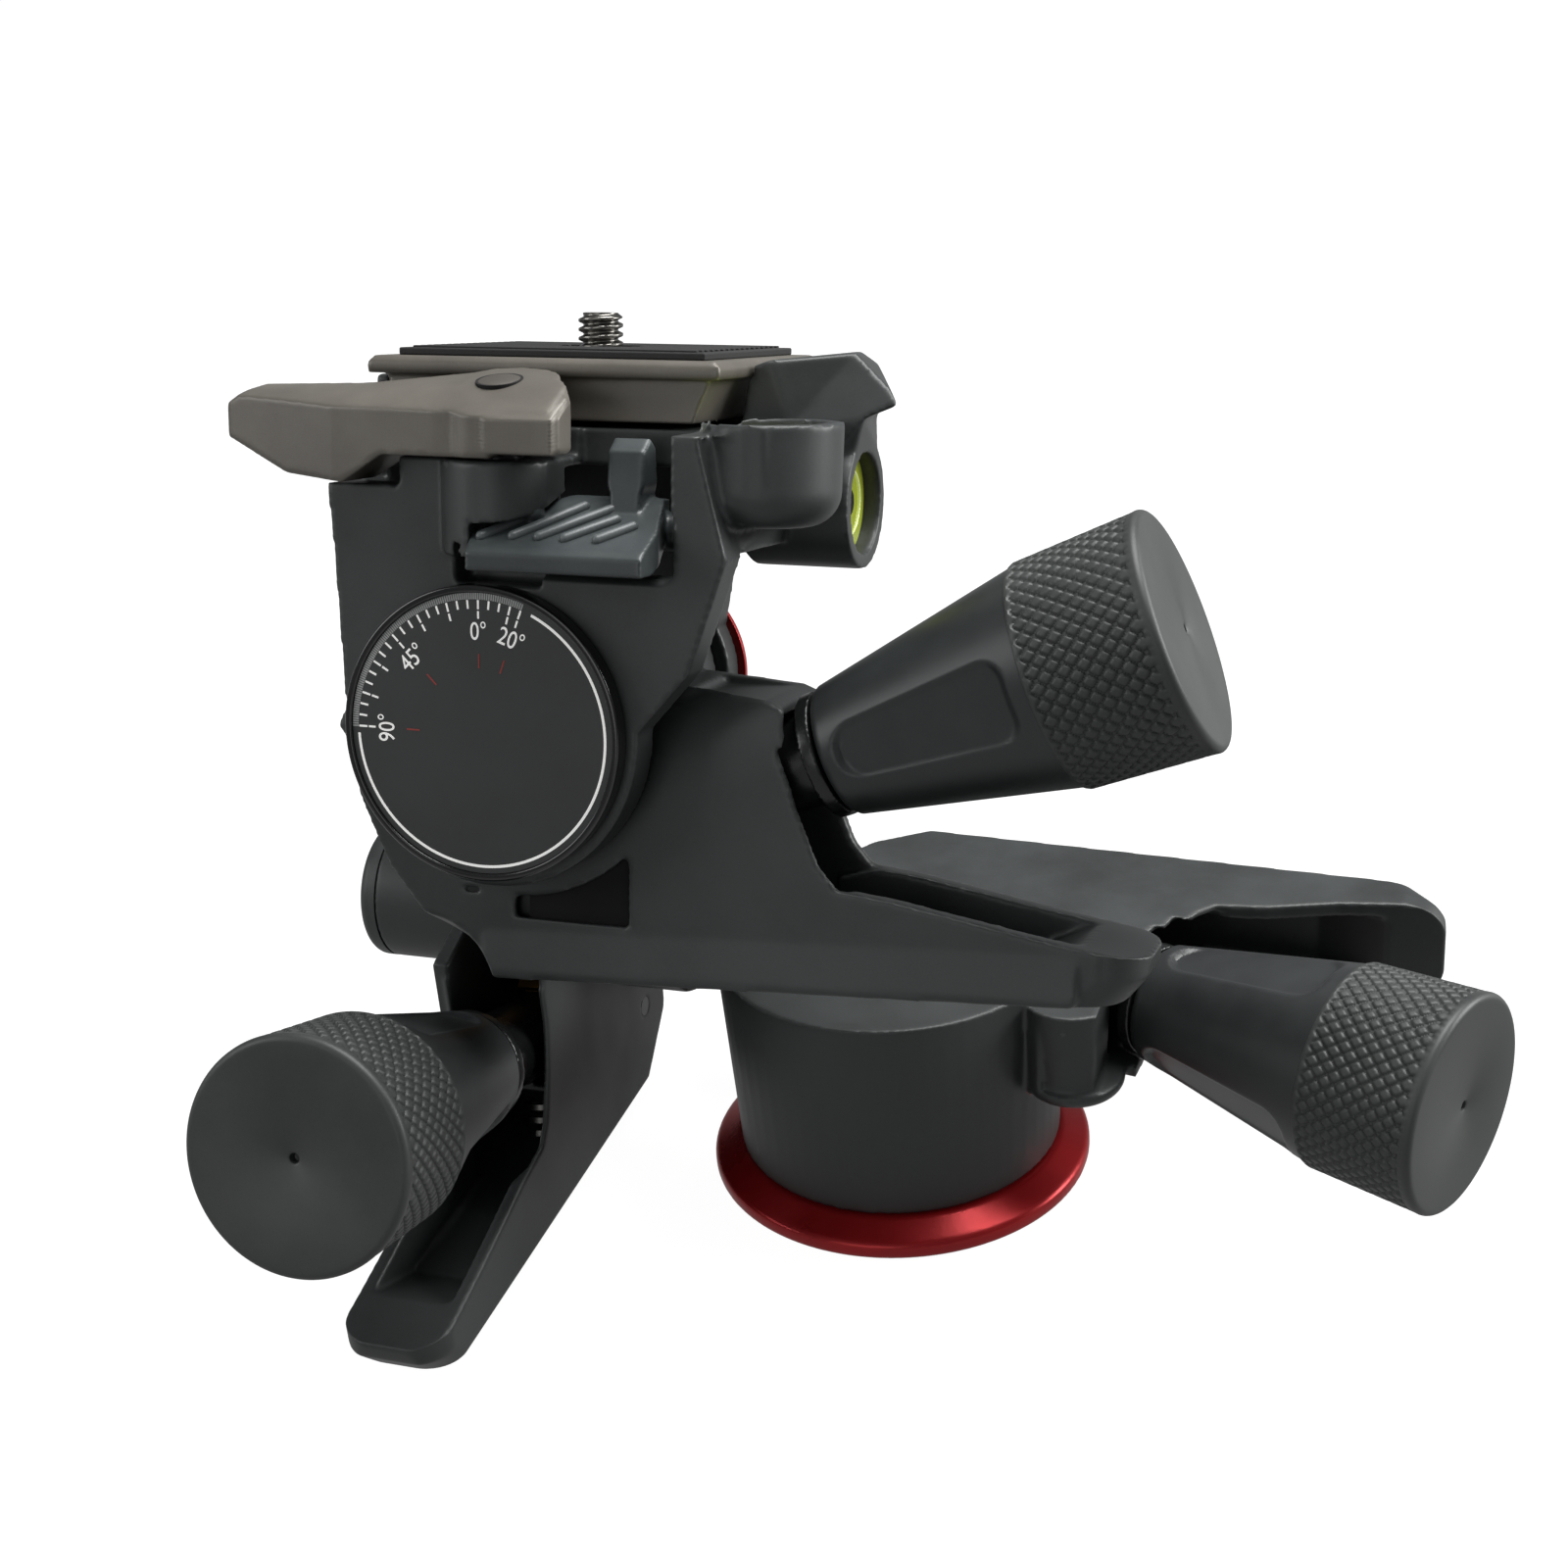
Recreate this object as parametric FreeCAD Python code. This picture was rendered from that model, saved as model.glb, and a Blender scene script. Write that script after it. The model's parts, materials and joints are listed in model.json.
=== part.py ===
import FreeCAD, Part
import math
import os

# Geared three-way tripod head.
#
# Three like drives turn the pan, lateral and front axes.  Each one has a wheel on its axis, a
# worm in a swinging carrier, a conical knob on the worm's shaft and a fixed channel-shaped
# wing beside the knob.  Squeezing knob and wing together swings the worm out of mesh.
#
# Frame: millimetres, +Z up, origin at the centre of the base's underside.  The dial looks
# along -Y, the pan and front knobs point along +X and the lateral knob along -Y.
#
# Every drive is modelled in its own plan frame: x runs from the wheel's axis to the wing's
# tip, y from the wing to the knob, z along the wheel's axis.  A worm frame lies in it: x runs
# along the shaft to the knob, y from the worm to the wheel's axis.
#
# All that the lateral axis carries is modelled upright, with the lateral axis at z = 0, and
# then placed by TILT at its height and rest tilt.

V = FreeCAD.Vector

# --- overall layout -------------------------------------------------------------------------
BASE_RADIUS = 30.0
BASE_RIM = 2.8
BASE_SLOPE = 2.0
PAN_PLANE = 30.0            # height of the pan knob's axis
PAN_TOP = 38.5              # top of the lower casting
LATERAL_HEIGHT = 39.0       # lateral axis above the base
LATERAL_PLANE = -54.0       # x of the lateral knob's axis
REST_TILT = 15.3            # the head rests tilted back by this about the lateral axis
FRONT_X = -40.0             # front axis, beside the pan axis
FRONT_RISE = 39.0           # front axis above the lateral axis
FRONT_PLANE = -42.0         # y of the front knob's axis, before the rest tilt
PAN_TWIST = 3.0             # each drive's turn about its wheel axis
LATERAL_TWIST = 0.0
FRONT_TWIST = 3.0

# --- drive ----------------------------------------------------------------------------------
MODULE = 1.0
TEETH = 30
WORM_PITCH_RADIUS = 4.0
WORM_HALF = 6.6             # half the length between the carrier's cheeks
WORM_TURNS = 2.5
WHEEL_WIDTH = 7.0
SECTOR_BACK = 10            # gashes of a tilting wheel on either side of its rest place
SECTOR_AHEAD = 4
BACKLASH = 0.60             # side play of a thread in its gap
ROOT_PLAY = 0.25
PRESSURE_ANGLE = 20.0
KNOB_ANGLE = 19.5           # the shaft leans this far off the wing
RUN = 0.05                  # radial running clearance of shafts and pins
GAP = 0.35                  # clearance between moving bodies
SHAFT_RADIUS = 2.5
CHEEK = 3.4                 # bearing cheeks of the carrier
CARRIER_HALF = 6.8
CARRIER_BACK = 9.5          # carrier's back, from the worm's axis
BACK_PLATE = 3.2
PIVOT_BACK = 14.5           # carrier's pivot behind the worm's middle
PIVOT_RADIUS = 1.6
PIVOT_HALF = 8.2            # half the pivot pin's length
EYE_RADIUS = 3.6
SWING = 8.0                 # release swing of the carrier, degrees
NECK_RADIUS = 6.3
COLLAR_RADIUS = 8.7
COLLAR = 2.0
PAN_NECK = 36.6             # worm's middle to the collar's outer face
LATERAL_NECK = 36.0
FRONT_NECK = 40.0
SPRING_RADIUS = 2.9
SPRING_WIRE = 0.9
SPRING_TURNS = 3
SPRING_PLACE = 7.0          # spring's place along the worm's axis
SPRING_LENGTH = 7.2
SPRING_SEAT = 0.15          # play at either end of the spring

# --- knob -----------------------------------------------------------------------------------
KNOB_END_RADIUS = 16.3
KNOB_GRIP_RADIUS = 15.5     # grip's inner end
KNOB_NECK_RADIUS = 9.0
KNOB_LENGTH = 49.5
GRIP_LENGTH = 18.5
GRIP_WALL = 3.0
GRIP_DEPTH = 14.0           # core's spigot inside the grip
KNOB_EDGE = 1.0
PANEL_COUNT = 3
PANEL_DEPTH = 0.7
PANEL_LENGTH = 22.0
PANEL_WIDTH = 7.5

# --- castings -------------------------------------------------------------------------------
WALL = 2.2
OUTER = 36.0                # wheel axis to a wing's outer face
PAN_REACH = 80.0            # wheel axis to each wing's tip
LATERAL_REACH = 75.0
FRONT_REACH = 87.0
PAN_MOUTH = 38.5            # wheel axis to the mouth that each neck comes out of
LATERAL_MOUTH = 28.0
FRONT_MOUTH = 38.5
WING_HALF = 8.25
WING_FLARE = 1.2            # extra half width of a wing at its mouth
SKIRT = 1.0                 # flare of the front wing's lower edge
BLOCK_HALF = 10.0           # half the width of a worm housing
FLOOR = 3.0                 # wing's floor
CAVITY_HALF = 7.4
PAN_BOTTOM_RADIUS = 25.4
PAN_RADIUS = 27.0
BOSS_RADIUS = 7.75
BOSS_X = 30.0
BOSS_Y = -6.7
BOSS_BOTTOM = 20.0
SPINDLE_RADIUS = 8.0
FLANGE_RADIUS = 18.0
FLANGE = 1.6
BUSH_WALL = 1.5
BARREL_RADIUS = 22.5        # middle body's barrel about the front axis
BODY_FRONT = -50.5          # barrel's faces, before the rest tilt
BARREL_BACK = -32.0
SLEEVE_RADIUS = 13.0        # sleeve behind the barrel
BODY_BACK = -4.0
LATERAL_BARREL = 19.4
LATERAL_END = -86.0         # x of the lateral barrel's far end
TAIL_RADIUS = 11.0
CAP_THICK = 3.0
LUG_RADIUS = 12.0
LUG_NEAR = -44.6
LUG_FAR = -31.6
CROSS_SHAFT = 5.0           # lateral and front shafts' radius

# --- dial and bracket -----------------------------------------------------------------------
DIAL_RADIUS = 20.0
DIAL_FACE = -60.0
DIAL_THICK = 2.6
DIAL_RIM = 1.0
FORK_LUG = 21.4
FORK_FRONT = -57.0
ARM_FRONT = 6.1             # front arm's thickness
FORK_BORE = 8.0
REAR_FACE = 1.2             # rear arm's outer face
REAR_LUG = 15.8
REAR_ARM = 4.6
TRIM = 1.4
DECK_TOP = 79.0
DECK_UNDER = 63.6
DECK_SKIN = 5.0
DECK_RIGHT = -5.5
SCREW_HEAD = 7.0

# --- receiver, lever, tab and levels --------------------------------------------------------
LEVER_X = -38.8
LEVER_Y = -54.7
LEVER_UNDER = 75.6
LEVER_TOP = 86.8
LEVER_HUB = 8.0
LEVER_PIN = 3.0
LEVER_CAP = 4.5
LEVER_REACH = 41.0
LEVER_HEEL = 14.3           # hub's axis to where the lever's deeper part starts
LEVER_LOW = 71.7            # underside of that part
PIN_DEPTH = 4.6             # pivot pin's seat below the lever
LEVEL_X = -4.0
LEVEL_Y = -46.0
LEVEL_RADIUS = 9.2
LEVEL_LOW = 67.0
LEVEL_TOP = 80.5
LEVEL_WALL = 1.6
LEVEL_ROUND = 4.6
VIAL_DEPTH = 4.5
SIDE_RADIUS = 8.4
SIDE_Y = -26.0
SIDE_Z = 71.1
SIDE_END = 3.2
PLATE_X = -37.0
PLATE_Y = -25.0
PLATE_LENGTH = 51.4
PLATE_WIDTH = 42.5
PLATE_TOP = 88.0
PLATE_THICK = 8.2
PLATE_LIP = 2.4
PLATE_STEP = 1.9            # lip's overhang past the flank
PLATE_TAPER = 2.2           # flank's inward lean
PAD_THICK = 1.3
PAD_INSET = 3.2
SCREW_RADIUS = 3.175
SCREW_NECK = 2.5            # relieved shank between the head and the thread
SCREW_RISE = 4.6
TAB_LEFT = -42.0
TAB_RIGHT = -15.0
TAB_FRONT = -61.0
TAB_HINGE_Y = -49.5
TAB_HINGE_Z = 66.0
TAB_PIN = 1.0
TAB_LIP = 61.4
RIDGE_X = -21.5
TAB_SWING = 8.0             # travel of the tab when its lip is pressed down, degrees
JAW_FRONT = -34.0
JAW_BACK = -18.0
JAW_TIP = 9.2               # x of the jaw's outer end at its front
JAW_SLANT = 4.6             # how far that end draws in towards the back

# --- base -----------------------------------------------------------------------------------
THREAD_RADIUS = 4.7625
INSERT_RADIUS = 7.0
INSERT_DEPTH = 9.0
BASE_SCREW = 1.5
BASE_SCREW_CIRCLE = 9.4


# ---- helpers ---------------------------------------------------------------------------------
def prism(points, low, high):
    """Straight prism over a closed outline in the xy plane."""
    wire = Part.makePolygon([V(x, y, low) for x, y in points] + [V(points[0][0], points[0][1], low)])
    return Part.Face(wire).extrude(V(0, 0, high - low))


def prism_x(points, low, high):
    """Prism along x over an outline of (y, z) points."""
    return put(prism(points, low, high), frame(V(0, 0, 0), V(0, 1, 0), V(0, 0, 1)))


def prism_y(points, front, back):
    """Prism along y over an outline of (x, z) points, from its front face to its back one."""
    return put(prism(points, -back, -front), frame(V(0, 0, 0), V(1, 0, 0), V(0, 0, 1)))


def rod(radius, low, high, x=0.0, y=0.0):
    """Cylinder along z."""
    return Part.makeCylinder(radius, high - low, V(x, y, low))


def rod_x(radius, low, high, y=0.0, z=0.0):
    """Cylinder along x."""
    return Part.makeCylinder(radius, high - low, V(low, y, z), V(1, 0, 0))


def rod_y(radius, low, high, x=0.0, z=0.0):
    """Cylinder along y."""
    return Part.makeCylinder(radius, high - low, V(x, low, z), V(0, 1, 0))


def box(x0, x1, y0, y1, z0, z1):
    return Part.makeBox(x1 - x0, y1 - y0, z1 - z0, V(x0, y0, z0))


def turned(profile):
    """Solid of revolution about z: profile holds (radius, height) pairs."""
    wire = Part.makePolygon([V(r, 0, h) for r, h in profile] + [V(profile[0][0], 0, profile[0][1])])
    return Part.Face(wire).revolve(V(0, 0, 0), V(0, 0, 1), 360)


def fuse(shapes):
    return shapes[0].multiFuse(shapes[1:]).removeSplitter()


def soften(shape, radius, chosen):
    """Fillet the edges that the test picks."""
    return shape.makeFillet(radius, [e for e in shape.Edges if chosen(e)])


def hexagon(apothem):
    corner = apothem / math.cos(math.pi / 6)
    return [(corner * math.cos(k * math.pi / 3), corner * math.sin(k * math.pi / 3)) for k in range(6)]


def frame(origin, x_axis, y_axis):
    z_axis = x_axis.cross(y_axis)
    return FreeCAD.Placement(FreeCAD.Matrix(
        x_axis.x, y_axis.x, z_axis.x, origin.x,
        x_axis.y, y_axis.y, z_axis.y, origin.y,
        x_axis.z, y_axis.z, z_axis.z, origin.z,
        0, 0, 0, 1))


def put(shape, placement):
    moved = shape.copy()
    moved.Placement = placement.multiply(moved.Placement)
    return moved


def turn(angle):
    return FreeCAD.Placement(V(0, 0, 0), FreeCAD.Rotation(V(0, 0, 1), angle))


def about_front(points):
    """Points given from the front axis, as upright (x, z) points."""
    return [(FRONT_X + u, FRONT_RISE + v) for u, v in points]


# ---- frames ----------------------------------------------------------------------------------
CENTRES = MODULE * TEETH / 2 + WORM_PITCH_RADIUS
LEAN = math.radians(KNOB_ANGLE)
WORM_FRAME = FreeCAD.Placement(V(CENTRES * math.sin(LEAN), -CENTRES * math.cos(LEAN), 0),
                               FreeCAD.Rotation(V(0, 0, 1), KNOB_ANGLE))
ALONG_SHAFT = FreeCAD.Placement(V(0, 0, 0), FreeCAD.Rotation(V(0, 0, 1), V(1, 0, 0)))
PAN_FRAME = frame(V(0, 0, PAN_PLANE), V(1, 0, 0), V(0, -1, 0)).multiply(turn(PAN_TWIST))
LATERAL_FRAME = frame(V(LATERAL_PLANE, 0, LATERAL_HEIGHT), V(0, -1, 0), V(0, 0, 1)).multiply(
    turn(LATERAL_TWIST))
FRONT_FRAME = frame(V(FRONT_X, FRONT_PLANE, FRONT_RISE), V(1, 0, 0), V(0, 0, 1)).multiply(
    turn(FRONT_TWIST))
TILT = FreeCAD.Placement(V(0, 0, LATERAL_HEIGHT), FreeCAD.Rotation(V(1, 0, 0), -REST_TILT))
BASE_TOP = BASE_RIM + BASE_SLOPE
FOOT = BASE_TOP + GAP
SIDE = LATERAL_PLANE + WING_HALF
SECTOR = range(-SECTOR_BACK, SECTOR_AHEAD + 1)


# ---- drive parts -----------------------------------------------------------------------------
def coil(section, pitch, turns, radius):
    """Sweep of a closed (radius, height) section along a helix about z."""
    path = Part.makeHelix(pitch, pitch * turns, radius)
    corners = [V(r, 0, h) for r, h in section]
    sweep = Part.BRepOffsetAPI.MakePipeShell(path)
    sweep.setFrenetMode(True)
    sweep.add(Part.makePolygon(corners + corners[:1]))
    sweep.build()
    sweep.makeSolid()
    return sweep.shape()


def worm_shaft(neck):
    """Shaft along x with a single-start thread about the origin and a seat for the knob."""
    lead = math.pi * MODULE
    tip = WORM_PITCH_RADIUS + MODULE
    root = WORM_PITCH_RADIUS - MODULE - ROOT_PLAY
    slope = math.tan(math.radians(PRESSURE_ANGLE))
    half = (lead / 2 - BACKLASH) / 2
    foot = root - ROOT_PLAY
    section = [(foot, -half - (WORM_PITCH_RADIUS - foot) * slope), (tip, -half + MODULE * slope),
               (tip, half - MODULE * slope), (foot, half + (WORM_PITCH_RADIUS - foot) * slope)]
    thread = coil(section, lead, WORM_TURNS, root)
    start = -WORM_TURNS * lead / 2
    phase = start + lead / 4
    thread.translate(V(0, 0, start - phase + lead * round(phase / lead)))
    core = rod_x(root, -WORM_HALF, WORM_HALF)
    shaft = rod_x(SHAFT_RADIUS, -PIVOT_BACK + EYE_RADIUS + GAP, neck + KNOB_LENGTH - GRIP_LENGTH)
    return core.fuse([put(thread, ALONG_SHAFT), shaft])


def worm_wheel(bore, gashes):
    """Worm wheel about z with gashes cut at the worm's lead angle."""
    pitch = MODULE * TEETH / 2
    tip = pitch + MODULE
    root = pitch - MODULE - ROOT_PLAY
    lead_angle = math.degrees(math.atan(MODULE / (2 * WORM_PITCH_RADIUS)))
    half = math.pi * MODULE / 4 + BACKLASH / 4
    slope = math.tan(math.radians(PRESSURE_ANGLE))
    low = half - (pitch - root) * slope
    high = half + 1.5 * MODULE * slope
    gash = prism([(root, low), (tip + MODULE / 2, high), (tip + MODULE / 2, -high), (root, -low)],
                 -WHEEL_WIDTH, WHEEL_WIDTH)
    gash.rotate(V(0, 0, 0), V(1, 0, 0), lead_angle)
    cuts = [rod(bore, -WHEEL_WIDTH, WHEEL_WIDTH)]
    for k in gashes:
        cuts.append(put(gash, turn(KNOB_ANGLE - 90 + k * 360.0 / TEETH)))
    return rod(tip, -WHEEL_WIDTH / 2, WHEEL_WIDTH / 2).cut(cuts)


def carrier(neck):
    """Swing carrier in the worm frame: two cheeks, a back plate, a pivot eye and a neck."""
    inner = WORM_HALF + GAP
    outer = inner + CHEEK
    half = CARRIER_HALF
    back = -CARRIER_BACK
    plate = prism([(-PIVOT_BACK - EYE_RADIUS, back + 2), (-PIVOT_BACK, back), (outer + 5, back),
                   (outer + 7, back + 2), (outer + 7, back + BACK_PLATE),
                   (-PIVOT_BACK - EYE_RADIUS, back + BACK_PLATE)], -half, half)
    left = box(-outer, -inner, back + 1, WORM_PITCH_RADIUS, -half, half)
    right = box(inner, outer, back + 1, WORM_PITCH_RADIUS, -half, half)
    eye = rod(EYE_RADIUS, -half, half, -PIVOT_BACK, 0)
    web = box(-PIVOT_BACK - EYE_RADIUS, -PIVOT_BACK + EYE_RADIUS, back + 2, 0, -half, half)
    tube = rod_x(NECK_RADIUS, inner + 0.5, neck - COLLAR)
    root = Part.makeCone(NECK_RADIUS + 0.6, NECK_RADIUS, 6, V(outer - 0.5, 0, 0), V(1, 0, 0))
    wheel = WHEEL_WIDTH / 2 + GAP
    collar = rod_x(COLLAR_RADIUS, neck - COLLAR, neck)
    whole = fuse([plate, left, right, eye, web, tube, root, collar])
    return whole.cut([rod_x(SHAFT_RADIUS + RUN, -outer - 1, neck + 1),
                      rod(PIVOT_RADIUS + RUN, -half - 1, half + 1, -PIVOT_BACK, 0),
                      rod(MODULE * (TEETH / 2 + 1) + GAP, -wheel, wheel, 0, CENTRES)])


def release_spring():
    """Square-wire compression spring behind the carrier, in the worm frame."""
    h = SPRING_WIRE / 2
    section = [(SPRING_RADIUS - h, -h), (SPRING_RADIUS + h, -h), (SPRING_RADIUS + h, h), (SPRING_RADIUS - h, h)]
    spring = coil(section, (SPRING_LENGTH - SPRING_WIRE) / SPRING_TURNS, SPRING_TURNS, SPRING_RADIUS)
    seat = FreeCAD.Placement(V(SPRING_PLACE, -CARRIER_BACK - SPRING_SEAT - h, 0),
                             FreeCAD.Rotation(V(0, 0, 1), V(0, -1, 0)))
    return put(spring, seat)


def knob_radius(along):
    """Cone's radius at a distance from the knob's inner end."""
    return KNOB_NECK_RADIUS + (KNOB_GRIP_RADIUS - 0.4 - KNOB_NECK_RADIUS) * along / (KNOB_LENGTH - GRIP_LENGTH)


def knob_core(neck):
    """Conical knob body in the worm frame with long shallow panels round it."""
    cone = KNOB_LENGTH - GRIP_LENGTH
    spigot = KNOB_GRIP_RADIUS - GRIP_WALL
    body = turned([(SHAFT_RADIUS, 0), (KNOB_NECK_RADIUS - 0.8, 0), (KNOB_NECK_RADIUS, 0.8),
                   (knob_radius(cone), cone), (spigot, cone), (spigot, cone + GRIP_DEPTH), (0, cone + GRIP_DEPTH),
                   (0, cone), (SHAFT_RADIUS, cone)])
    middle = cone * 0.56
    lean = math.degrees(math.atan((knob_radius(cone) - knob_radius(0)) / cone))
    straight = (PANEL_LENGTH - PANEL_WIDTH) / 2
    panels = []
    for k in range(PANEL_COUNT):
        tool = fuse([box(-straight, straight, -PANEL_WIDTH / 2, PANEL_WIDTH / 2, 0, 5),
                     rod(PANEL_WIDTH / 2, 0, 5, -straight), rod(PANEL_WIDTH / 2, 0, 5, straight)])
        tool.rotate(V(0, 0, 0), V(0, 1, 0), -90 + lean)
        tool.translate(V(knob_radius(middle) - PANEL_DEPTH, 0, middle))
        tool.rotate(V(0, 0, 0), V(0, 0, 1), 30 + k * 360.0 / PANEL_COUNT)
        panels.append(tool)
    body = put(body.cut(panels), ALONG_SHAFT)
    body.translate(V(neck + GAP, 0, 0))
    return body


def knob_grip(neck):
    """Grip sleeve with its closed end, over the core's spigot."""
    cone = KNOB_LENGTH - GRIP_LENGTH
    inner = KNOB_GRIP_RADIUS - GRIP_WALL
    grip = turned([(inner, cone), (KNOB_GRIP_RADIUS - 0.4, cone), (KNOB_GRIP_RADIUS, cone + 0.6),
                   (KNOB_END_RADIUS, KNOB_LENGTH - KNOB_EDGE), (KNOB_END_RADIUS - KNOB_EDGE, KNOB_LENGTH),
                   (0, KNOB_LENGTH), (0, cone + GRIP_DEPTH), (inner, cone + GRIP_DEPTH)])
    grip = put(grip, ALONG_SHAFT)
    grip.translate(V(neck + GAP, 0, 0))
    return grip


def drive(name, placement, neck):
    """The pieces of one drive, keyed by node name."""
    worm = placement.multiply(WORM_FRAME)
    return {
        name + "_worm_shaft": put(worm_shaft(neck), worm),
        name + "_swing_carrier": put(carrier(neck), worm),
        name + "_release_spring": put(release_spring(), worm),
        name + "_pivot_pin": put(rod(PIVOT_RADIUS, -PIVOT_HALF, PIVOT_HALF, -PIVOT_BACK, 0), worm),
        name + "_knob": put(knob_core(neck), worm),
        name + "_knob_grip": put(knob_grip(neck), worm),
    }


# ---- castings --------------------------------------------------------------------------------
def wing(mouth, reach, low, high):
    """Channel-shaped wing in the plan frame, from the mouth to its upturned tip."""
    foot = -OUTER
    outline = [(mouth - 20, foot), (reach - 3.5, foot), (reach - 0.5, foot + 3.5), (reach, foot + 8),
               (reach - 1, foot + 9.4), (reach - 7, foot + 12), (reach - 8.5, foot + 7.8),
               (reach - 16, foot + 9.2), (mouth + 15, foot + 13), (mouth + 7.5, foot + 14.2),
               (mouth + 5, foot + 17.3), (mouth + 2.2, foot + 25), (mouth + 0.8, foot + 31),
               (mouth + 0.6, foot + 38), (mouth - 20, foot + 34)]
    blank = prism(outline, low, high)
    taper = [(mouth + 2, WING_HALF + WING_FLARE), (reach + 5, WING_HALF), (reach + 5, 60), (mouth + 2, 60)]
    side = prism_y(taper, -60, 60)
    blank = blank.cut([side, side.mirror(V(0, 0, 0), V(0, 0, 1))])
    floor = foot + FLOOR
    hollow = prism([(mouth - 18, floor), (reach - 11, floor), (reach - 8.6, floor + 3), (reach - 9.6, 20),
                    (mouth - 18, 20)], -WING_HALF + WALL, WING_HALF - WALL)
    return blank.cut(hollow)


def drive_rooms(neck, mouth):
    """Everything that one drive hollows out of its casting, in the plan frame."""
    side_play = 0.9
    wheel = rod(MODULE * (TEETH / 2 + 1) + 0.8, -WHEEL_WIDTH / 2 - side_play, WHEEL_WIDTH / 2 + side_play)
    lean = math.tan(math.radians(SWING))
    left = -PIVOT_BACK - EYE_RADIUS - 1.4
    reach = neck + 4
    low = -CARRIER_BACK - 1.0
    swing = prism([(left, 5.0), (left, low + 3.3), (-PIVOT_BACK - 2.1, low + 0.4), (-PIVOT_BACK, low),
                   (reach, low - (reach + PIVOT_BACK) * lean),
                   (reach, NECK_RADIUS + 3.2), (10, NECK_RADIUS + 3.2)], -CAVITY_HALF, CAVITY_HALF)
    pocket = Part.makeCylinder(SPRING_RADIUS + SPRING_WIRE, SPRING_LENGTH + 2 * SPRING_SEAT,
                               V(SPRING_PLACE, -CARRIER_BACK, 0), V(0, -1, 0))
    pin = rod(PIVOT_RADIUS, -PIVOT_HALF, PIVOT_HALF, -PIVOT_BACK, 0)
    collar = Part.makeCone(COLLAR_RADIUS + 0.9, COLLAR_RADIUS + 2.6, 12, V(neck - COLLAR - 3, -1.8, 0), V(1, 0, 0))
    swung = rod_x(COLLAR_RADIUS + 0.5, neck - COLLAR - 1.2, neck + 4)
    swung.rotate(V(-PIVOT_BACK, 0, 0), V(0, 0, 1), -SWING)
    floor = -OUTER + FLOOR
    opening = prism([(mouth - 18, floor), (mouth + 3, floor), (mouth + 3, 30), (mouth - 8.5, 30), (mouth - 14.5, -6)],
                    -CAVITY_HALF, CAVITY_HALF)
    return [wheel, opening] + [put(room, WORM_FRAME) for room in (swing, pocket, pin, collar, swung)]


def lower_housing():
    """Pan cylinder, pan wing, lateral barrel and lateral wing in one casting."""
    cylinder = Part.makeCone(PAN_BOTTOM_RADIUS, PAN_RADIUS, PAN_TOP - FOOT, V(0, 0, FOOT))
    low = PAN_PLANE - PAN_TOP
    pan_block = prism([(-20, 10), (-21, -16), (-13, -30), (-5, -OUTER), (PAN_MOUTH, -OUTER), (PAN_MOUTH, -4),
                       (20, 8)], low, BLOCK_HALF)
    pan_wing = wing(PAN_MOUTH, PAN_REACH, low, WING_HALF + WING_FLARE)
    boss = rod(BOSS_RADIUS, BOSS_BOTTOM, PAN_TOP - 2, BOSS_X, BOSS_Y)
    boss = soften(boss, 2.2, lambda e: e.BoundBox.ZMax < BOSS_BOTTOM + 0.01)
    barrel = rod_x(LATERAL_BARREL, LATERAL_PLANE - BLOCK_HALF, SIDE, 0, LATERAL_HEIGHT)
    tail = rod_x(TAIL_RADIUS, LATERAL_END + CAP_THICK, LATERAL_PLANE, 0, LATERAL_HEIGHT)
    lateral_block = prism([(-14, 12), (-19, -4), (-15.5, -27.5), (-6, -OUTER), (LATERAL_MOUTH, -OUTER),
                           (LATERAL_MOUTH, 4), (18, 7)], -WING_HALF, BLOCK_HALF)
    lateral_wing = wing(LATERAL_MOUTH, LATERAL_REACH, -WING_HALF, WING_HALF)
    arm = box(LATERAL_PLANE - BLOCK_HALF + 1, -12, 13.5, 27.5, 17.0, LATERAL_HEIGHT - 5.2)
    whole = fuse([cylinder, put(pan_block, PAN_FRAME), put(pan_wing, PAN_FRAME), boss, barrel, tail,
                  put(lateral_block, LATERAL_FRAME), put(lateral_wing, LATERAL_FRAME), arm])
    rooms = [put(room, PAN_FRAME) for room in drive_rooms(PAN_NECK, PAN_MOUTH)]
    rooms += [put(room, LATERAL_FRAME) for room in drive_rooms(LATERAL_NECK, LATERAL_MOUTH)]
    rooms.append(rod(SPINDLE_RADIUS + BUSH_WALL, FOOT - 1, PAN_PLANE))
    rooms.append(rod(FLANGE_RADIUS + GAP, FOOT - 1, BASE_TOP + FLANGE + GAP))
    rooms.append(rod(SPINDLE_RADIUS + 3.0, PAN_PLANE, PAN_TOP - 1.6))
    rooms.append(rod_x(CROSS_SHAFT + BUSH_WALL, LATERAL_END, SIDE + 1, 0, LATERAL_HEIGHT))
    return whole.cut(rooms)


def lateral_knob_room():
    """Where the lateral knob comes to lie when the head stands upright."""
    cone = KNOB_LENGTH - GRIP_LENGTH
    play = 2 * GAP
    start = LATERAL_NECK + GAP
    room = Part.makeCone(knob_radius(0) + play, knob_radius(cone) + play, cone, V(start, 0, 0), V(1, 0, 0))
    upright = frame(V(LATERAL_PLANE, 0, 0), V(0, -1, 0), V(0, 0, 1)).multiply(turn(LATERAL_TWIST))
    return put(room, upright.multiply(WORM_FRAME))


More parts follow.
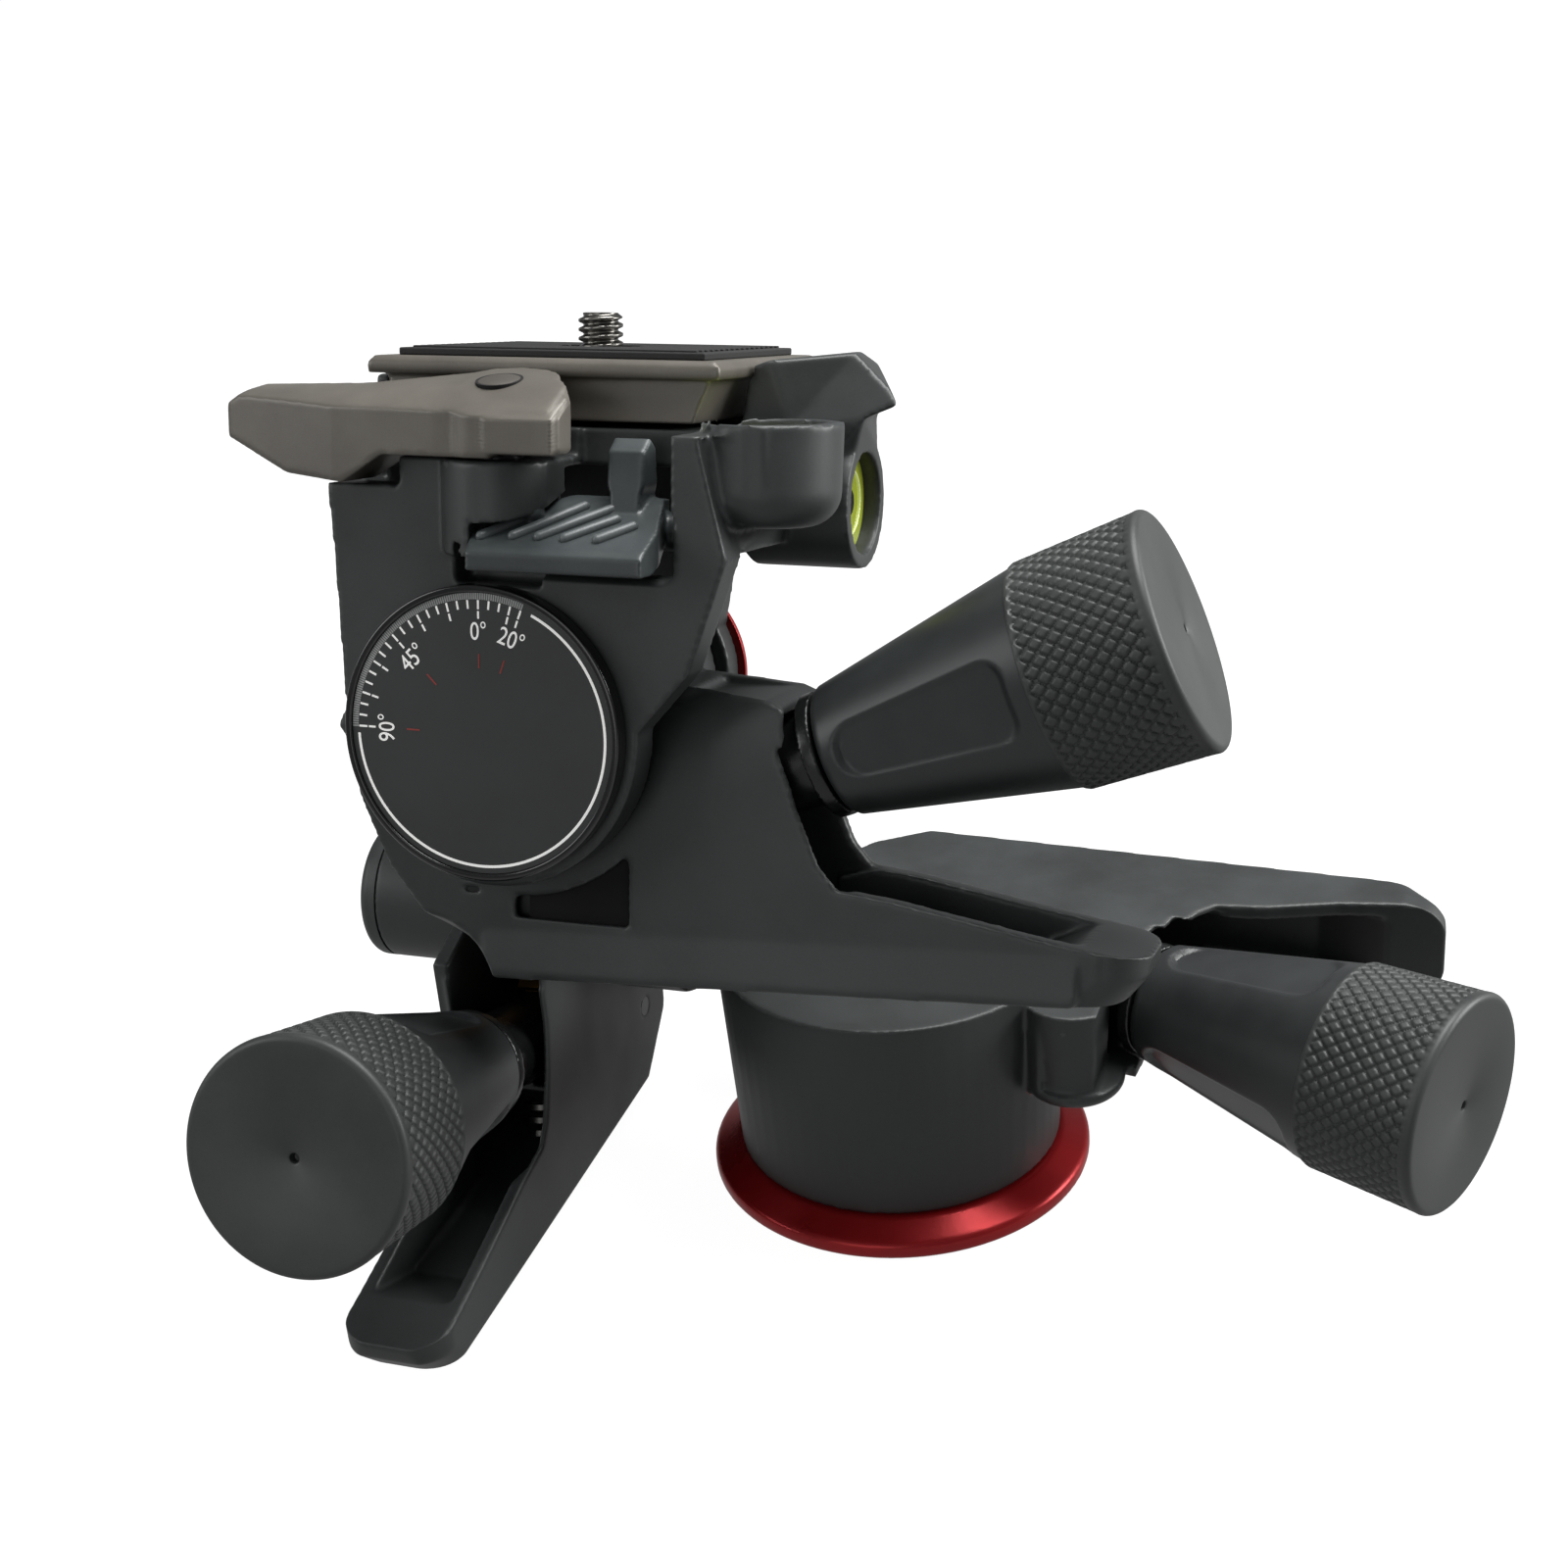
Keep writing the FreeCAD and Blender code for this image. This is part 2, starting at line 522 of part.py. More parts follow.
def middle_housing():
    """Barrel about the front axis, worm housing, front wing and the lug on the lateral axis."""
    barrel = rod_y(BARREL_RADIUS, BODY_FRONT, BARREL_BACK, FRONT_X, FRONT_RISE)
    sleeve = rod_y(SLEEVE_RADIUS, BARREL_BACK, BODY_BACK, FRONT_X, FRONT_RISE)
    high = FRONT_PLANE - BODY_FRONT
    body = prism([(-23.5, 4), (-24.1, -10), (-22.4, -14.5), (-20.0, -20.5), (-12.3, -31), (-6, -OUTER),
                  (FRONT_MOUTH, -OUTER), (FRONT_MOUTH + 0.6, 2), (FRONT_MOUTH - 2, 3.2), (14, 6), (0, 20)],
                 -BLOCK_HALF, high)
    front_wing = wing(FRONT_MOUTH, FRONT_REACH, -WING_HALF - WING_FLARE, high)
    skirt = prism_x([(-OUTER, high - 3), (-OUTER, high + SKIRT), (-OUTER + 1.2, high + SKIRT), (-OUTER + 8, high - 0.2),
                     (-OUTER + 8, high - 3)], -6, FRONT_REACH - 9)
    web = prism_x([(BARREL_BACK - 6, 30), (BARREL_BACK - 6, 14), (-16, 4), (-LUG_RADIUS, 0), (LUG_RADIUS / 2, 8),
                   (BODY_BACK, 14), (BODY_BACK, 30)], LUG_NEAR, LUG_FAR)
    lug = rod_x(LUG_RADIUS, LUG_NEAR, LUG_FAR)
    stub = rod_y(FORK_BORE - RUN, DIAL_FACE + DIAL_THICK, BODY_FRONT, FRONT_X, FRONT_RISE)
    whole = fuse([barrel, sleeve, put(body, FRONT_FRAME), put(front_wing, FRONT_FRAME), put(skirt, FRONT_FRAME), lug,
                  web, stub])
    rooms = [put(room, FRONT_FRAME) for room in drive_rooms(FRONT_NECK, FRONT_MOUTH)]
    rooms.append(rod_y(CROSS_SHAFT + BUSH_WALL, FRONT_PLANE, BODY_BACK + 1, FRONT_X, FRONT_RISE))
    rooms.append(rod_x(CROSS_SHAFT, LUG_NEAR - 1, LUG_FAR + 1))
    rooms.append(rod_x(LATERAL_BARREL + 1.0, LATERAL_END, LUG_NEAR))
    rooms.append(lateral_knob_room())
    window = prism_y(about_front([(0.5, -27.3), (17.3, -27.3), (17.3, -12.0), (0.5, -20.0)]), BODY_FRONT - 1,
                     BODY_FRONT + 5)
    rooms.append(window.cut(rod_y(BARREL_RADIUS + 1.8, BODY_FRONT - 2, BODY_FRONT + 6, FRONT_X, FRONT_RISE)))
    return whole.cut(rooms)


# ---- base and axes ---------------------------------------------------------------------------
def screw_circle(radius, low, high):
    """The three base screws, or their holes."""
    rods = []
    for k in range(3):
        angle = math.radians(90 + 120 * k)
        rods.append(rod(radius, low, high, BASE_SCREW_CIRCLE * math.cos(angle), BASE_SCREW_CIRCLE * math.sin(angle)))
    return rods


def base_parts():
    """What stands still when the head pans."""
    groove = 0.8
    ring = turned([(INSERT_RADIUS, 0), (11, 0), (11 + groove, groove), (24, groove), (24 + groove, 0),
                   (BASE_RADIUS - 0.6, 0), (BASE_RADIUS, 0.6), (BASE_RADIUS, BASE_RIM - 0.5),
                   (BASE_RADIUS - 0.5, BASE_RIM), (PAN_BOTTOM_RADIUS + 0.4, BASE_TOP), (INSERT_RADIUS, BASE_TOP)])
    insert = turned([(THREAD_RADIUS, 0), (INSERT_RADIUS, 0), (INSERT_RADIUS, INSERT_DEPTH),
                     (THREAD_RADIUS, INSERT_DEPTH)])
    flange_top = BASE_TOP + FLANGE
    spindle = turned([(INSERT_RADIUS, BASE_TOP), (FLANGE_RADIUS, BASE_TOP), (FLANGE_RADIUS, flange_top),
                      (SPINDLE_RADIUS, flange_top), (SPINDLE_RADIUS, PAN_TOP - 3), (0, PAN_TOP - 3),
                      (0, INSERT_DEPTH), (INSERT_RADIUS, INSERT_DEPTH)])
    holes = screw_circle(BASE_SCREW, -1, flange_top)
    bottom = PAN_PLANE + WHEEL_WIDTH / 2
    retainer = rod(SPINDLE_RADIUS + 2.4, bottom, PAN_TOP - 3).cut(rod(SPINDLE_RADIUS, bottom, PAN_TOP))
    return {
        "base_ring": ring.cut(holes),
        "thread_insert": insert,
        "pan_spindle": spindle.cut(holes),
        "base_screws": Part.makeCompound(screw_circle(BASE_SCREW, groove, flange_top)),
        "pan_worm_wheel": put(worm_wheel(SPINDLE_RADIUS, range(TEETH)), PAN_FRAME),
        "pan_retaining_ring": retainer,
    }


def bushes():
    """The lower casting's bearings and the cap over the lateral shaft's nut."""
    room = WHEEL_WIDTH / 2 + 0.9
    pan = rod(SPINDLE_RADIUS + BUSH_WALL, BASE_TOP + FLANGE + GAP, PAN_PLANE - room)
    lateral = rod_x(CROSS_SHAFT + BUSH_WALL, LATERAL_PLANE - room - 12, LATERAL_PLANE - room, 0, LATERAL_HEIGHT)
    side = rod_x(CROSS_SHAFT + BUSH_WALL, LATERAL_PLANE + room, SIDE, 0, LATERAL_HEIGHT)
    spindle = rod(SPINDLE_RADIUS + RUN, 0, PAN_PLANE)
    shaft = rod_x(CROSS_SHAFT + RUN, LATERAL_END, SIDE, 0, LATERAL_HEIGHT)
    return {
        "pan_bush": pan.cut(spindle),
        "lateral_bush": lateral.cut(shaft),
        "lateral_side_bush": side.cut(shaft),
        "lateral_end_cap": rod_x(TAIL_RADIUS, LATERAL_END, LATERAL_END + CAP_THICK, 0, LATERAL_HEIGHT),
    }


def roll_parts():
    """Lateral shaft and its screw, and the front axis's bearing and dial, all upright."""
    end = LATERAL_END + CAP_THICK + GAP
    nut = rod_x(CROSS_SHAFT + 1.0, end, end + 2.4)
    hub = rod_x(SCREW_HEAD, LUG_FAR, LUG_FAR + 1.8).cut(prism_x(hexagon(2.0), LUG_FAR + 0.6, LUG_FAR + 3))
    front_shaft = rod_y(CROSS_SHAFT + RUN, BODY_FRONT, 0, FRONT_X, FRONT_RISE)
    face = rod_y(DIAL_RADIUS - DIAL_RIM, DIAL_FACE - 1, DIAL_FACE + 0.4, FRONT_X, FRONT_RISE)
    return {
        "lateral_cross_shaft": fuse([rod_x(CROSS_SHAFT, end + 2.4, LUG_FAR), nut]),
        "lateral_hub_screw": hub,
        "front_bush": rod_y(CROSS_SHAFT + BUSH_WALL, BODY_BACK - 12, BODY_BACK, FRONT_X, FRONT_RISE).cut(front_shaft),
        "dial": rod_y(DIAL_RADIUS, DIAL_FACE, DIAL_FACE + DIAL_THICK, FRONT_X, FRONT_RISE).cut(face),
    }


# ---- bracket and receiver --------------------------------------------------------------------
def top_bracket():
    """Front arm, rear arm, the hollow deck over them, the plate's fixed jaws and the levels."""
    deck = DECK_TOP - FRONT_RISE
    right = DECK_RIGHT - FRONT_X
    front_arm = prism_y(about_front([(-FORK_LUG, -2.5), (-22.8, -0.7), (-21.5, 1.8), (-22.8, 24.5), (-24.2, deck),
                                     (right, deck), (right, 24.3), (28.4, 9.1), (FORK_LUG * 0.88, -2.0)]),
                        FORK_FRONT, FORK_FRONT + ARM_FRONT)
    front_lug = rod_y(FORK_LUG, FORK_FRONT, FORK_FRONT + ARM_FRONT, FRONT_X, FRONT_RISE)
    rear_front = REAR_FACE - REAR_ARM
    rear_lug = rod_y(REAR_LUG - 1.0, rear_front, REAR_FACE, FRONT_X, FRONT_RISE)
    rear_arm = prism_y(about_front([(-13.5, 0), (-19, deck), (18, deck), (11.5, 0)]), rear_front, REAR_FACE)
    under = DECK_UNDER - FRONT_RISE
    block = prism_y(about_front([(-22.8, under), (-24.2, deck), (right, deck), (right, under)]), FORK_FRONT + 1,
                    REAR_FACE)
    boss = rod(LEVER_HUB - 0.3, DECK_UNDER - 0.8, LEVER_UNDER - GAP, LEVER_X, LEVER_Y)
    level = rod(LEVEL_RADIUS, LEVEL_LOW, LEVEL_TOP, LEVEL_X, LEVEL_Y)
    level = soften(level, LEVEL_ROUND, lambda e: e.BoundBox.ZMax < LEVEL_LOW + 0.01)
    side_level = rod_x(SIDE_RADIUS, LEVEL_X - 8, SIDE_END, SIDE_Y, SIDE_Z)
    edge = PLATE_X + PLATE_LENGTH / 2 + GAP
    lip = PLATE_TOP - PLATE_LIP
    jaw = prism_y([(edge - PLATE_STEP, DECK_TOP - 1), (edge - PLATE_STEP + 1, lip - GAP), (edge, lip - GAP),
                   (edge, PLATE_TOP - 0.8), (edge + 2.2, PLATE_TOP), (2.0, PLATE_TOP + 1.0), (10.5, 83.4),
                   (4.5, DECK_TOP - 0.5), (-6, DECK_TOP - 5)], JAW_FRONT, JAW_BACK)
    slant = prism([(-20, JAW_FRONT - 1), (JAW_TIP, JAW_FRONT), (JAW_TIP - JAW_SLANT, JAW_BACK), (-20, JAW_BACK + 1)],
                  DECK_UNDER, PLATE_TOP + 5)
    jaw = jaw.common(slant)
    far = PLATE_X - PLATE_LENGTH / 2 - GAP
    rail = prism_y([(far + PLATE_STEP, DECK_TOP - 1), (far + PLATE_STEP - 1, lip - GAP), (far - 1.2, lip - GAP),
                    (far - 1.2, DECK_TOP - 1)], PLATE_Y - 16, PLATE_Y + 16)
    back = PLATE_Y + PLATE_WIDTH / 2 + GAP
    ledge = prism_x([(back - PLATE_STEP, DECK_TOP - 1), (back - PLATE_STEP + 1, lip - GAP), (REAR_FACE - 1, lip - GAP),
                     (REAR_FACE, lip - 2), (REAR_FACE, DECK_TOP - 1)], far + 4, edge - 4)
    whole = fuse([front_arm, front_lug, rear_lug, rear_arm, block, boss, level, side_level, jaw, rail, ledge])
    hollow = prism_y(about_front([(-19.0, under - 1), (-20.0, deck - DECK_SKIN), (right - 4, deck - DECK_SKIN),
                                  (right - 4, under - 1)]), FORK_FRONT + ARM_FRONT, rear_front)
    post = rod(LEVER_HUB, DECK_UNDER, DECK_TOP, LEVER_X, LEVER_Y)
    cuts = [
        hollow.cut(post),
        rod_y(FORK_BORE, FORK_FRONT - 1, FORK_FRONT + ARM_FRONT + 1, FRONT_X, FRONT_RISE),
        rod_y(CROSS_SHAFT, rear_front - 1, REAR_FACE + 1, FRONT_X, FRONT_RISE),
        rod(LEVEL_RADIUS - LEVEL_WALL, LEVEL_TOP - VIAL_DEPTH, LEVEL_TOP + 1, LEVEL_X, LEVEL_Y),
        rod_x(SIDE_RADIUS - LEVEL_WALL, SIDE_END - VIAL_DEPTH, SIDE_END + 1, SIDE_Y, SIDE_Z),
        box(-80, TAB_RIGHT - 9, FORK_FRONT - 9, PLATE_Y - PLATE_WIDTH / 2, LEVER_UNDER - GAP, DECK_TOP + 9),
        box(-80, LEVER_X - LEVER_HEEL + GAP, FORK_FRONT - 9, PLATE_Y - PLATE_WIDTH / 2, LEVER_LOW - GAP, DECK_TOP + 9),
        tab_room(),
        rod(LEVER_PIN, LEVER_UNDER - PIN_DEPTH, LEVER_UNDER, LEVER_X, LEVER_Y),
        rod_x(TAB_PIN, TAB_LEFT + 4, TAB_RIGHT + 2.5, TAB_HINGE_Y, TAB_HINGE_Z),
    ]
    return whole.cut(cuts)


def tab_form(play):
    """The safety tab's sloping slab: its plan and its side profile crossed, both grown by play."""
    hinge = TAB_HINGE_Y
    front = TAB_FRONT - play
    left = TAB_LEFT - play
    right = TAB_RIGHT + play
    plan = prism([(left, front - 0.2), (right, front - 0.2), (right, TAB_FRONT + 4.5), (right - 2.7, hinge),
                  (left + 11.5, hinge), (left + 8.0, TAB_FRONT + 6.5 + play), (left, TAB_FRONT + 3.5 + play)], 50, 90)
    low = TAB_LIP - play
    profile = [(front, low), (front, TAB_LIP + 2.4 + play), (TAB_FRONT + 0.8, TAB_LIP + 3.2 + play),
               (hinge - 2.5, 69.9 + play), (hinge, 70.4 + play), (hinge, TAB_HINGE_Z), (hinge - 2, TAB_HINGE_Z - 2 - play),
               (TAB_FRONT + 2.5, low)]
    return plan.common(prism_x(profile, left - 1, right + 1))


def tab_room():
    """What the safety tab sits and swings in, and the slot under the lever's boss."""
    rest = tab_form(2 * GAP)
    pressed = rest.copy()
    pressed.rotate(V(0, TAB_HINGE_Y, TAB_HINGE_Z), V(1, 0, 0), TAB_SWING)
    nub = rod(1.5 + GAP, TAB_LIP, 70.1 + GAP, TAB_LEFT + 8.2, TAB_FRONT + 5.6)
    notch = box(TAB_LEFT + 10.8, TAB_RIGHT + 1.0, TAB_FRONT - 1, TAB_HINGE_Y + 4.0, 60.4, DECK_TOP + 1)
    slot = box(TAB_LEFT - 2.5, TAB_LEFT + 10, TAB_FRONT - 1, FORK_FRONT + 4.5, 58.8, DECK_UNDER - 0.9)
    return fuse([rest, pressed, nub, notch, slot])


def release_lever():
    """Quick-release lever: its plan outline and its front outline crossed, with a round hub."""
    x = LEVER_X
    y = LEVER_Y
    plan = prism([(x + 11.5, y - 7.0), (x + 11.5, y - 3.0), (x + 4.0, y + 6.9), (x - 6.0, y + 5.3), (x - 20.0, y + 4.0),
                  (x - LEVER_REACH + 3, y + 6.0), (x - LEVER_REACH, y + 3.0), (x - LEVER_REACH + 1, y - 1.5),
                  (x - 22.0, y - 5.5), (x - 6.0, y - 7.2)], 60, 100)
    plan = fuse([plan, rod(LEVER_HUB, 60, 100, x, y)])
    front = prism_y([(x + 12.5, 76.6), (x + 12.5, 84.0), (x + 10.0, LEVER_TOP), (x - 4.0, LEVER_TOP), (x - 16.0, 85.6),
                     (x - 22.0, 85.0), (x - LEVER_REACH + 3, 84.2), (x - LEVER_REACH - 1, 80.9),
                     (x - LEVER_REACH - 1, 77.8), (x - 30.0, LEVER_LOW + 0.8), (x - 20.5, LEVER_LOW), (x - LEVER_HEEL, LEVER_UNDER),
                     (x + 2.0, LEVER_UNDER), (x + 3.0, 76.6)], y - 30, y + 30)
    seat = rod(LEVER_CAP, LEVER_TOP - 1.6, 100, x, y)
    return plan.common(front).cut([rod(LEVER_PIN + RUN, 60, 100, x, y), seat])


def plate_parts():
    """Camera plate with its rubber pad and screw."""
    under = PLATE_TOP - PLATE_THICK
    lip = PLATE_TOP - PLATE_LIP

    def flanks(centre, size):
        half = size / 2
        right = [(half - 0.8, PLATE_TOP), (half, PLATE_TOP - 0.8), (half, lip), (half - PLATE_STEP, lip),
                 (half - PLATE_STEP - PLATE_TAPER, under)]
        return [(centre + u, z) for u, z in right] + [(centre - u, z) for u, z in reversed(right)]

    length = prism_y(flanks(PLATE_X, PLATE_LENGTH), PLATE_Y - 50, PLATE_Y + 50)
    width = prism_x(flanks(PLATE_Y, PLATE_WIDTH), PLATE_X - 50, PLATE_X + 50)
    plate = length.common(width).cut([rod(SCREW_RADIUS + 0.2, under - 1, PLATE_TOP + 1, PLATE_X, PLATE_Y),
                                      rod(SCREW_HEAD + 0.4, under - 1, under + 3.4, PLATE_X, PLATE_Y)])
    half_x = PLATE_LENGTH / 2 - PAD_INSET
    half_y = PLATE_WIDTH / 2 - PAD_INSET
    pad = box(PLATE_X - half_x, PLATE_X + half_x, PLATE_Y - half_y, PLATE_Y + half_y, PLATE_TOP, PLATE_TOP + PAD_THICK)
    face = PLATE_TOP + PAD_THICK
    top = face + SCREW_RISE
    screw = turned([(0, under + 0.3), (SCREW_HEAD, under + 0.3), (SCREW_HEAD, under + 3.0), (SCREW_NECK, under + 3.0),
                    (SCREW_NECK, face), (SCREW_RADIUS, face), (SCREW_RADIUS, top - 0.6), (SCREW_RADIUS - 0.6, top), (0, top)])
    screw = screw.cut(box(-0.7, 0.7, -SCREW_HEAD, SCREW_HEAD, under, under + 1.8))
    screw.translate(V(PLATE_X, PLATE_Y, 0))
    return {
        "camera_plate": plate,
        "plate_pad": pad.cut(rod(SCREW_RADIUS + 1.4, PLATE_TOP - 1, PLATE_TOP + 3, PLATE_X, PLATE_Y)),
        "camera_screw": screw,
    }


def safety_tab():
    """Ribbed tab with its upright ridge, hinged along x."""
    y = TAB_HINGE_Y
    ridge = prism_x([(y - 4.5, 68.0), (y - 3.5, 76.6), (y - 1.5, 78.2), (y + 0.4, 77.0), (y + 1.4, 68.0)],
                    RIDGE_X - 2.2, RIDGE_X + 2.2)
    eye = rod_x(TAB_PIN + 1.6, TAB_LEFT + 11.2, TAB_RIGHT - 0.2, y, TAB_HINGE_Z)
    stem = box(TAB_LEFT + 11.5, TAB_RIGHT - 2.5, y - 1.6, y + 1.6, TAB_HINGE_Z, 70.2)
    nub = Part.makeSphere(1.5, V(TAB_LEFT + 8.2, TAB_FRONT + 5.6, 68.6))
    return fuse([tab_form(0), ridge, eye, stem, nub]).cut(rod_x(TAB_PIN + RUN, TAB_LEFT, TAB_RIGHT + 2, y, TAB_HINGE_Z))


def top_parts():
    """Everything that the front axis carries, upright."""
    nodes = plate_parts()
    rim = REAR_LUG - 3.0
    nodes["top_bracket"] = top_bracket()
    nodes["front_worm_wheel"] = put(worm_wheel(CROSS_SHAFT, SECTOR), FRONT_FRAME)
    nodes["front_cross_shaft"] = rod_y(CROSS_SHAFT, FRONT_PLANE - WHEEL_WIDTH / 2 - 0.5, REAR_FACE, FRONT_X, FRONT_RISE)
    nodes["release_lever"] = release_lever()
    nodes["lever_pivot_pin"] = rod(LEVER_PIN, LEVER_UNDER - PIN_DEPTH, LEVER_TOP - 1.6, LEVER_X, LEVER_Y)
    nodes["lever_cap"] = rod(LEVER_CAP - RUN, LEVER_TOP - 1.6, LEVER_TOP - 0.5, LEVER_X, LEVER_Y)
    nodes["safety_tab"] = safety_tab()
    nodes["safety_tab_pin"] = rod_x(TAB_PIN, TAB_LEFT + 4, TAB_RIGHT + 2.5, TAB_HINGE_Y, TAB_HINGE_Z)
    nodes["round_level_vial"] = rod(LEVEL_RADIUS - LEVEL_WALL, LEVEL_TOP - VIAL_DEPTH, LEVEL_TOP - 0.9, LEVEL_X, LEVEL_Y)
    nodes["side_level_vial"] = rod_x(SIDE_RADIUS - LEVEL_WALL, SIDE_END - VIAL_DEPTH, SIDE_END - 1.8, SIDE_Y, SIDE_Z)
    nodes["rear_trim_ring"] = rod_y(REAR_LUG, REAR_FACE, REAR_FACE + TRIM, FRONT_X, FRONT_RISE).cut(
        rod_y(rim, REAR_FACE, REAR_FACE + TRIM, FRONT_X, FRONT_RISE))
    nodes["rear_cap"] = rod_y(rim, REAR_FACE, REAR_FACE + TRIM + 0.8, FRONT_X, FRONT_RISE)
    return nodes


def main():
    nodes = base_parts()
    nodes.update(drive("pan", PAN_FRAME, PAN_NECK))
    nodes.update(drive("lateral", LATERAL_FRAME, LATERAL_NECK))
    nodes.update(bushes())
    nodes["lower_housing"] = lower_housing()
    nodes["lateral_worm_wheel"] = put(worm_wheel(CROSS_SHAFT, SECTOR), LATERAL_FRAME)
    upright = drive("front", FRONT_FRAME, FRONT_NECK)
    upright["middle_housing"] = middle_housing()
    upright.update(roll_parts())
    upright.update(top_parts())
    for name, shape in upright.items():
        nodes[name] = put(shape, TILT)
    os.makedirs("parts", exist_ok=True)
    for name, shape in sorted(nodes.items()):
        if not shape.isValid():
            print("not valid:", name)
        shape.exportStep("parts/%s.step" % name)


main()
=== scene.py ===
import json
import math

import bmesh
import bpy
from mathutils import Matrix, Vector


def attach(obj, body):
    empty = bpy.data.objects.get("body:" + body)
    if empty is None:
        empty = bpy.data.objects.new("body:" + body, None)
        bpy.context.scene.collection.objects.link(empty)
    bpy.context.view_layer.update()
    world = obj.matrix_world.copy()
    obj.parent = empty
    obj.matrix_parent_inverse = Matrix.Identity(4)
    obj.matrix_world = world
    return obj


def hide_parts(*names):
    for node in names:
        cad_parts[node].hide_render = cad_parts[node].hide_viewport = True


# Geared tripod head: finishes and fine forms round the construction's solids.
# Local frames are in millimetres and are placed by matrices that turn them to metres.

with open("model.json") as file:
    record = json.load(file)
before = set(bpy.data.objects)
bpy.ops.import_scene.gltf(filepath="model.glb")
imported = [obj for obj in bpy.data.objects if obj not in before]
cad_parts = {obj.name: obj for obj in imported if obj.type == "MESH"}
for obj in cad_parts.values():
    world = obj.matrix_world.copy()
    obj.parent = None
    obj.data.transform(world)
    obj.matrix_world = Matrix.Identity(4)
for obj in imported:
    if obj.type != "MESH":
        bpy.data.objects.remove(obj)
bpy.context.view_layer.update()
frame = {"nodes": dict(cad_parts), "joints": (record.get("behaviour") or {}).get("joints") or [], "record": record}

MM = 0.001
JOINTS = {joint["name"]: joint for joint in frame["joints"]}
DRIVES = ("pan", "lateral", "front")

# camera: place in millimetres, angles in degrees, focal length in pixels of a 1600-pixel frame
CAMERA_PLACE = (97.7, -304.4, 223.1)
CAMERA_AZIMUTH = 20.34
CAMERA_ELEVATION = 26.13
CAMERA_ROLL = -4.756
FOCAL_PIXELS = 2435.0
IMAGE_PIXELS = 1600
SENSOR = 36.0

# worm drives: the wheel's axis to the worm's, and the shaft's lean off the wing
CENTRES = 19.0
KNOB_LEAN = 19.5

# wings, from each drive's wheel axis
TIP_LENGTH = 12.0           # nothing stands above the tip's facet within this of its end
TIP_HEIGHT = 8.3            # facet's inner edge over the wing's foot
TIP_FALL = 0.18             # the facet's slope
TIP_CORNER = 6.0
TIP_SLANT = 3.5             # the end face leans in over this height above the foot
RAMP_END = 9.0              # the ramp's top edge, back from the tip's end
RAMP_LENGTH = 11.0          # the floor's rise to the facet
RAMP_DROP = 0.7             # the ramp stops this far under the facet
RAMP_SINK = 0.6             # how far the ramp's block goes into the floor
RAMP_LAP = 1.5              # how far it goes under the facet
WING_FLOOR = 3.0
WING_HALF = 8.3
CHANNEL_HALF = 6.3

# boss round the pan worm's shaft, in the object's frame
BOSS_PLACE = (30.0, -6.9, 28.35)
BOSS_RADIUS = 7.75
BOSS_HEIGHT = 16.3
BOSS_FACE = 34.9            # its flat side
BOSS_EDGE = 1.8             # rounding of its lower edge, which starts at BOSS_EDGE_TOP
BOSS_EDGE_TOP = 22.0
BOSS_EDGE_REACH = 9.0

# roof over the front worm, in its drive's plan frame
ROOF = ((26.0, 3.4), (36.6, 3.2), (38.5, 2.3), (38.6, 1.0), (26.0, 0.4))
ROOF_SIDES = (-9.4, 8.4)

# barrel round the front worm, along its shaft
BARREL_FROM = -12.0
BARREL_TO = 60.0
BARREL_FADE = 5.0
BARREL_STEEPEST = 0.88

# release lever: its top falls towards the front, and more beyond LEVER_ROLL
LEVER_FALL = 0.17
LEVER_ROLL = 6.0
LEVER_CURL = 0.030
LEVER_FLAT = 77.0           # below this height nothing falls
NOSE = ((1.4, -8.2), (10.9, -8.2), (11.5, -3.4), (1.4, -3.4))   # from the pivot, in plan
NOSE_LOW = 76.2
NOSE_DROP = 0.4             # under the lever's top
PLUG_RADIUS = 2.8
PLUG_DEPTH = 2.2
PLUG_RISE = 0.22
SEAM_WIDTH = 0.35           # dark line round the plug
SEAM_RISE = 0.12
POCKET_RADIUS = 5.0         # the built pocket is filled up round the plug
POCKET_DEPTH = 3.0
PIVOT_DROP = 3.2            # the pivot's top, under the built pin's

# camera plate: its front flank comes out by PLATE_SPREAD at the foot
PLATE_SPREAD = 3.2
PLATE_LIP = 2.4
PLATE_FLANK = 6.0           # depth of the flank

# fixed jaw, from the upright frame: its tip, and the slopes of its end and underside
JAW_TIP = (9.2, 82.0)
JAW_END_SLOPE = 0.65
JAW_UNDER_SLOPE = 0.33
JAW_UNDER = 77.0
JAW_FOOT = 79.0
JAW_BACK = -30.0            # behind this the jaw is JAW_THIN narrower
JAW_THIN = 2.6
JAW_LEAN = 0.5              # how far its front face leans back, over its height

# dark sheet behind the middle casting's window, painted shade for its recess: corners across and up in the upright
# frame
WINDOW = ((-37.8, 11.5), (-22.5, 11.5), (-22.5, 27.0), (-37.8, 15.0))
WINDOW_DEPTHS = (-49.25, -49.0)

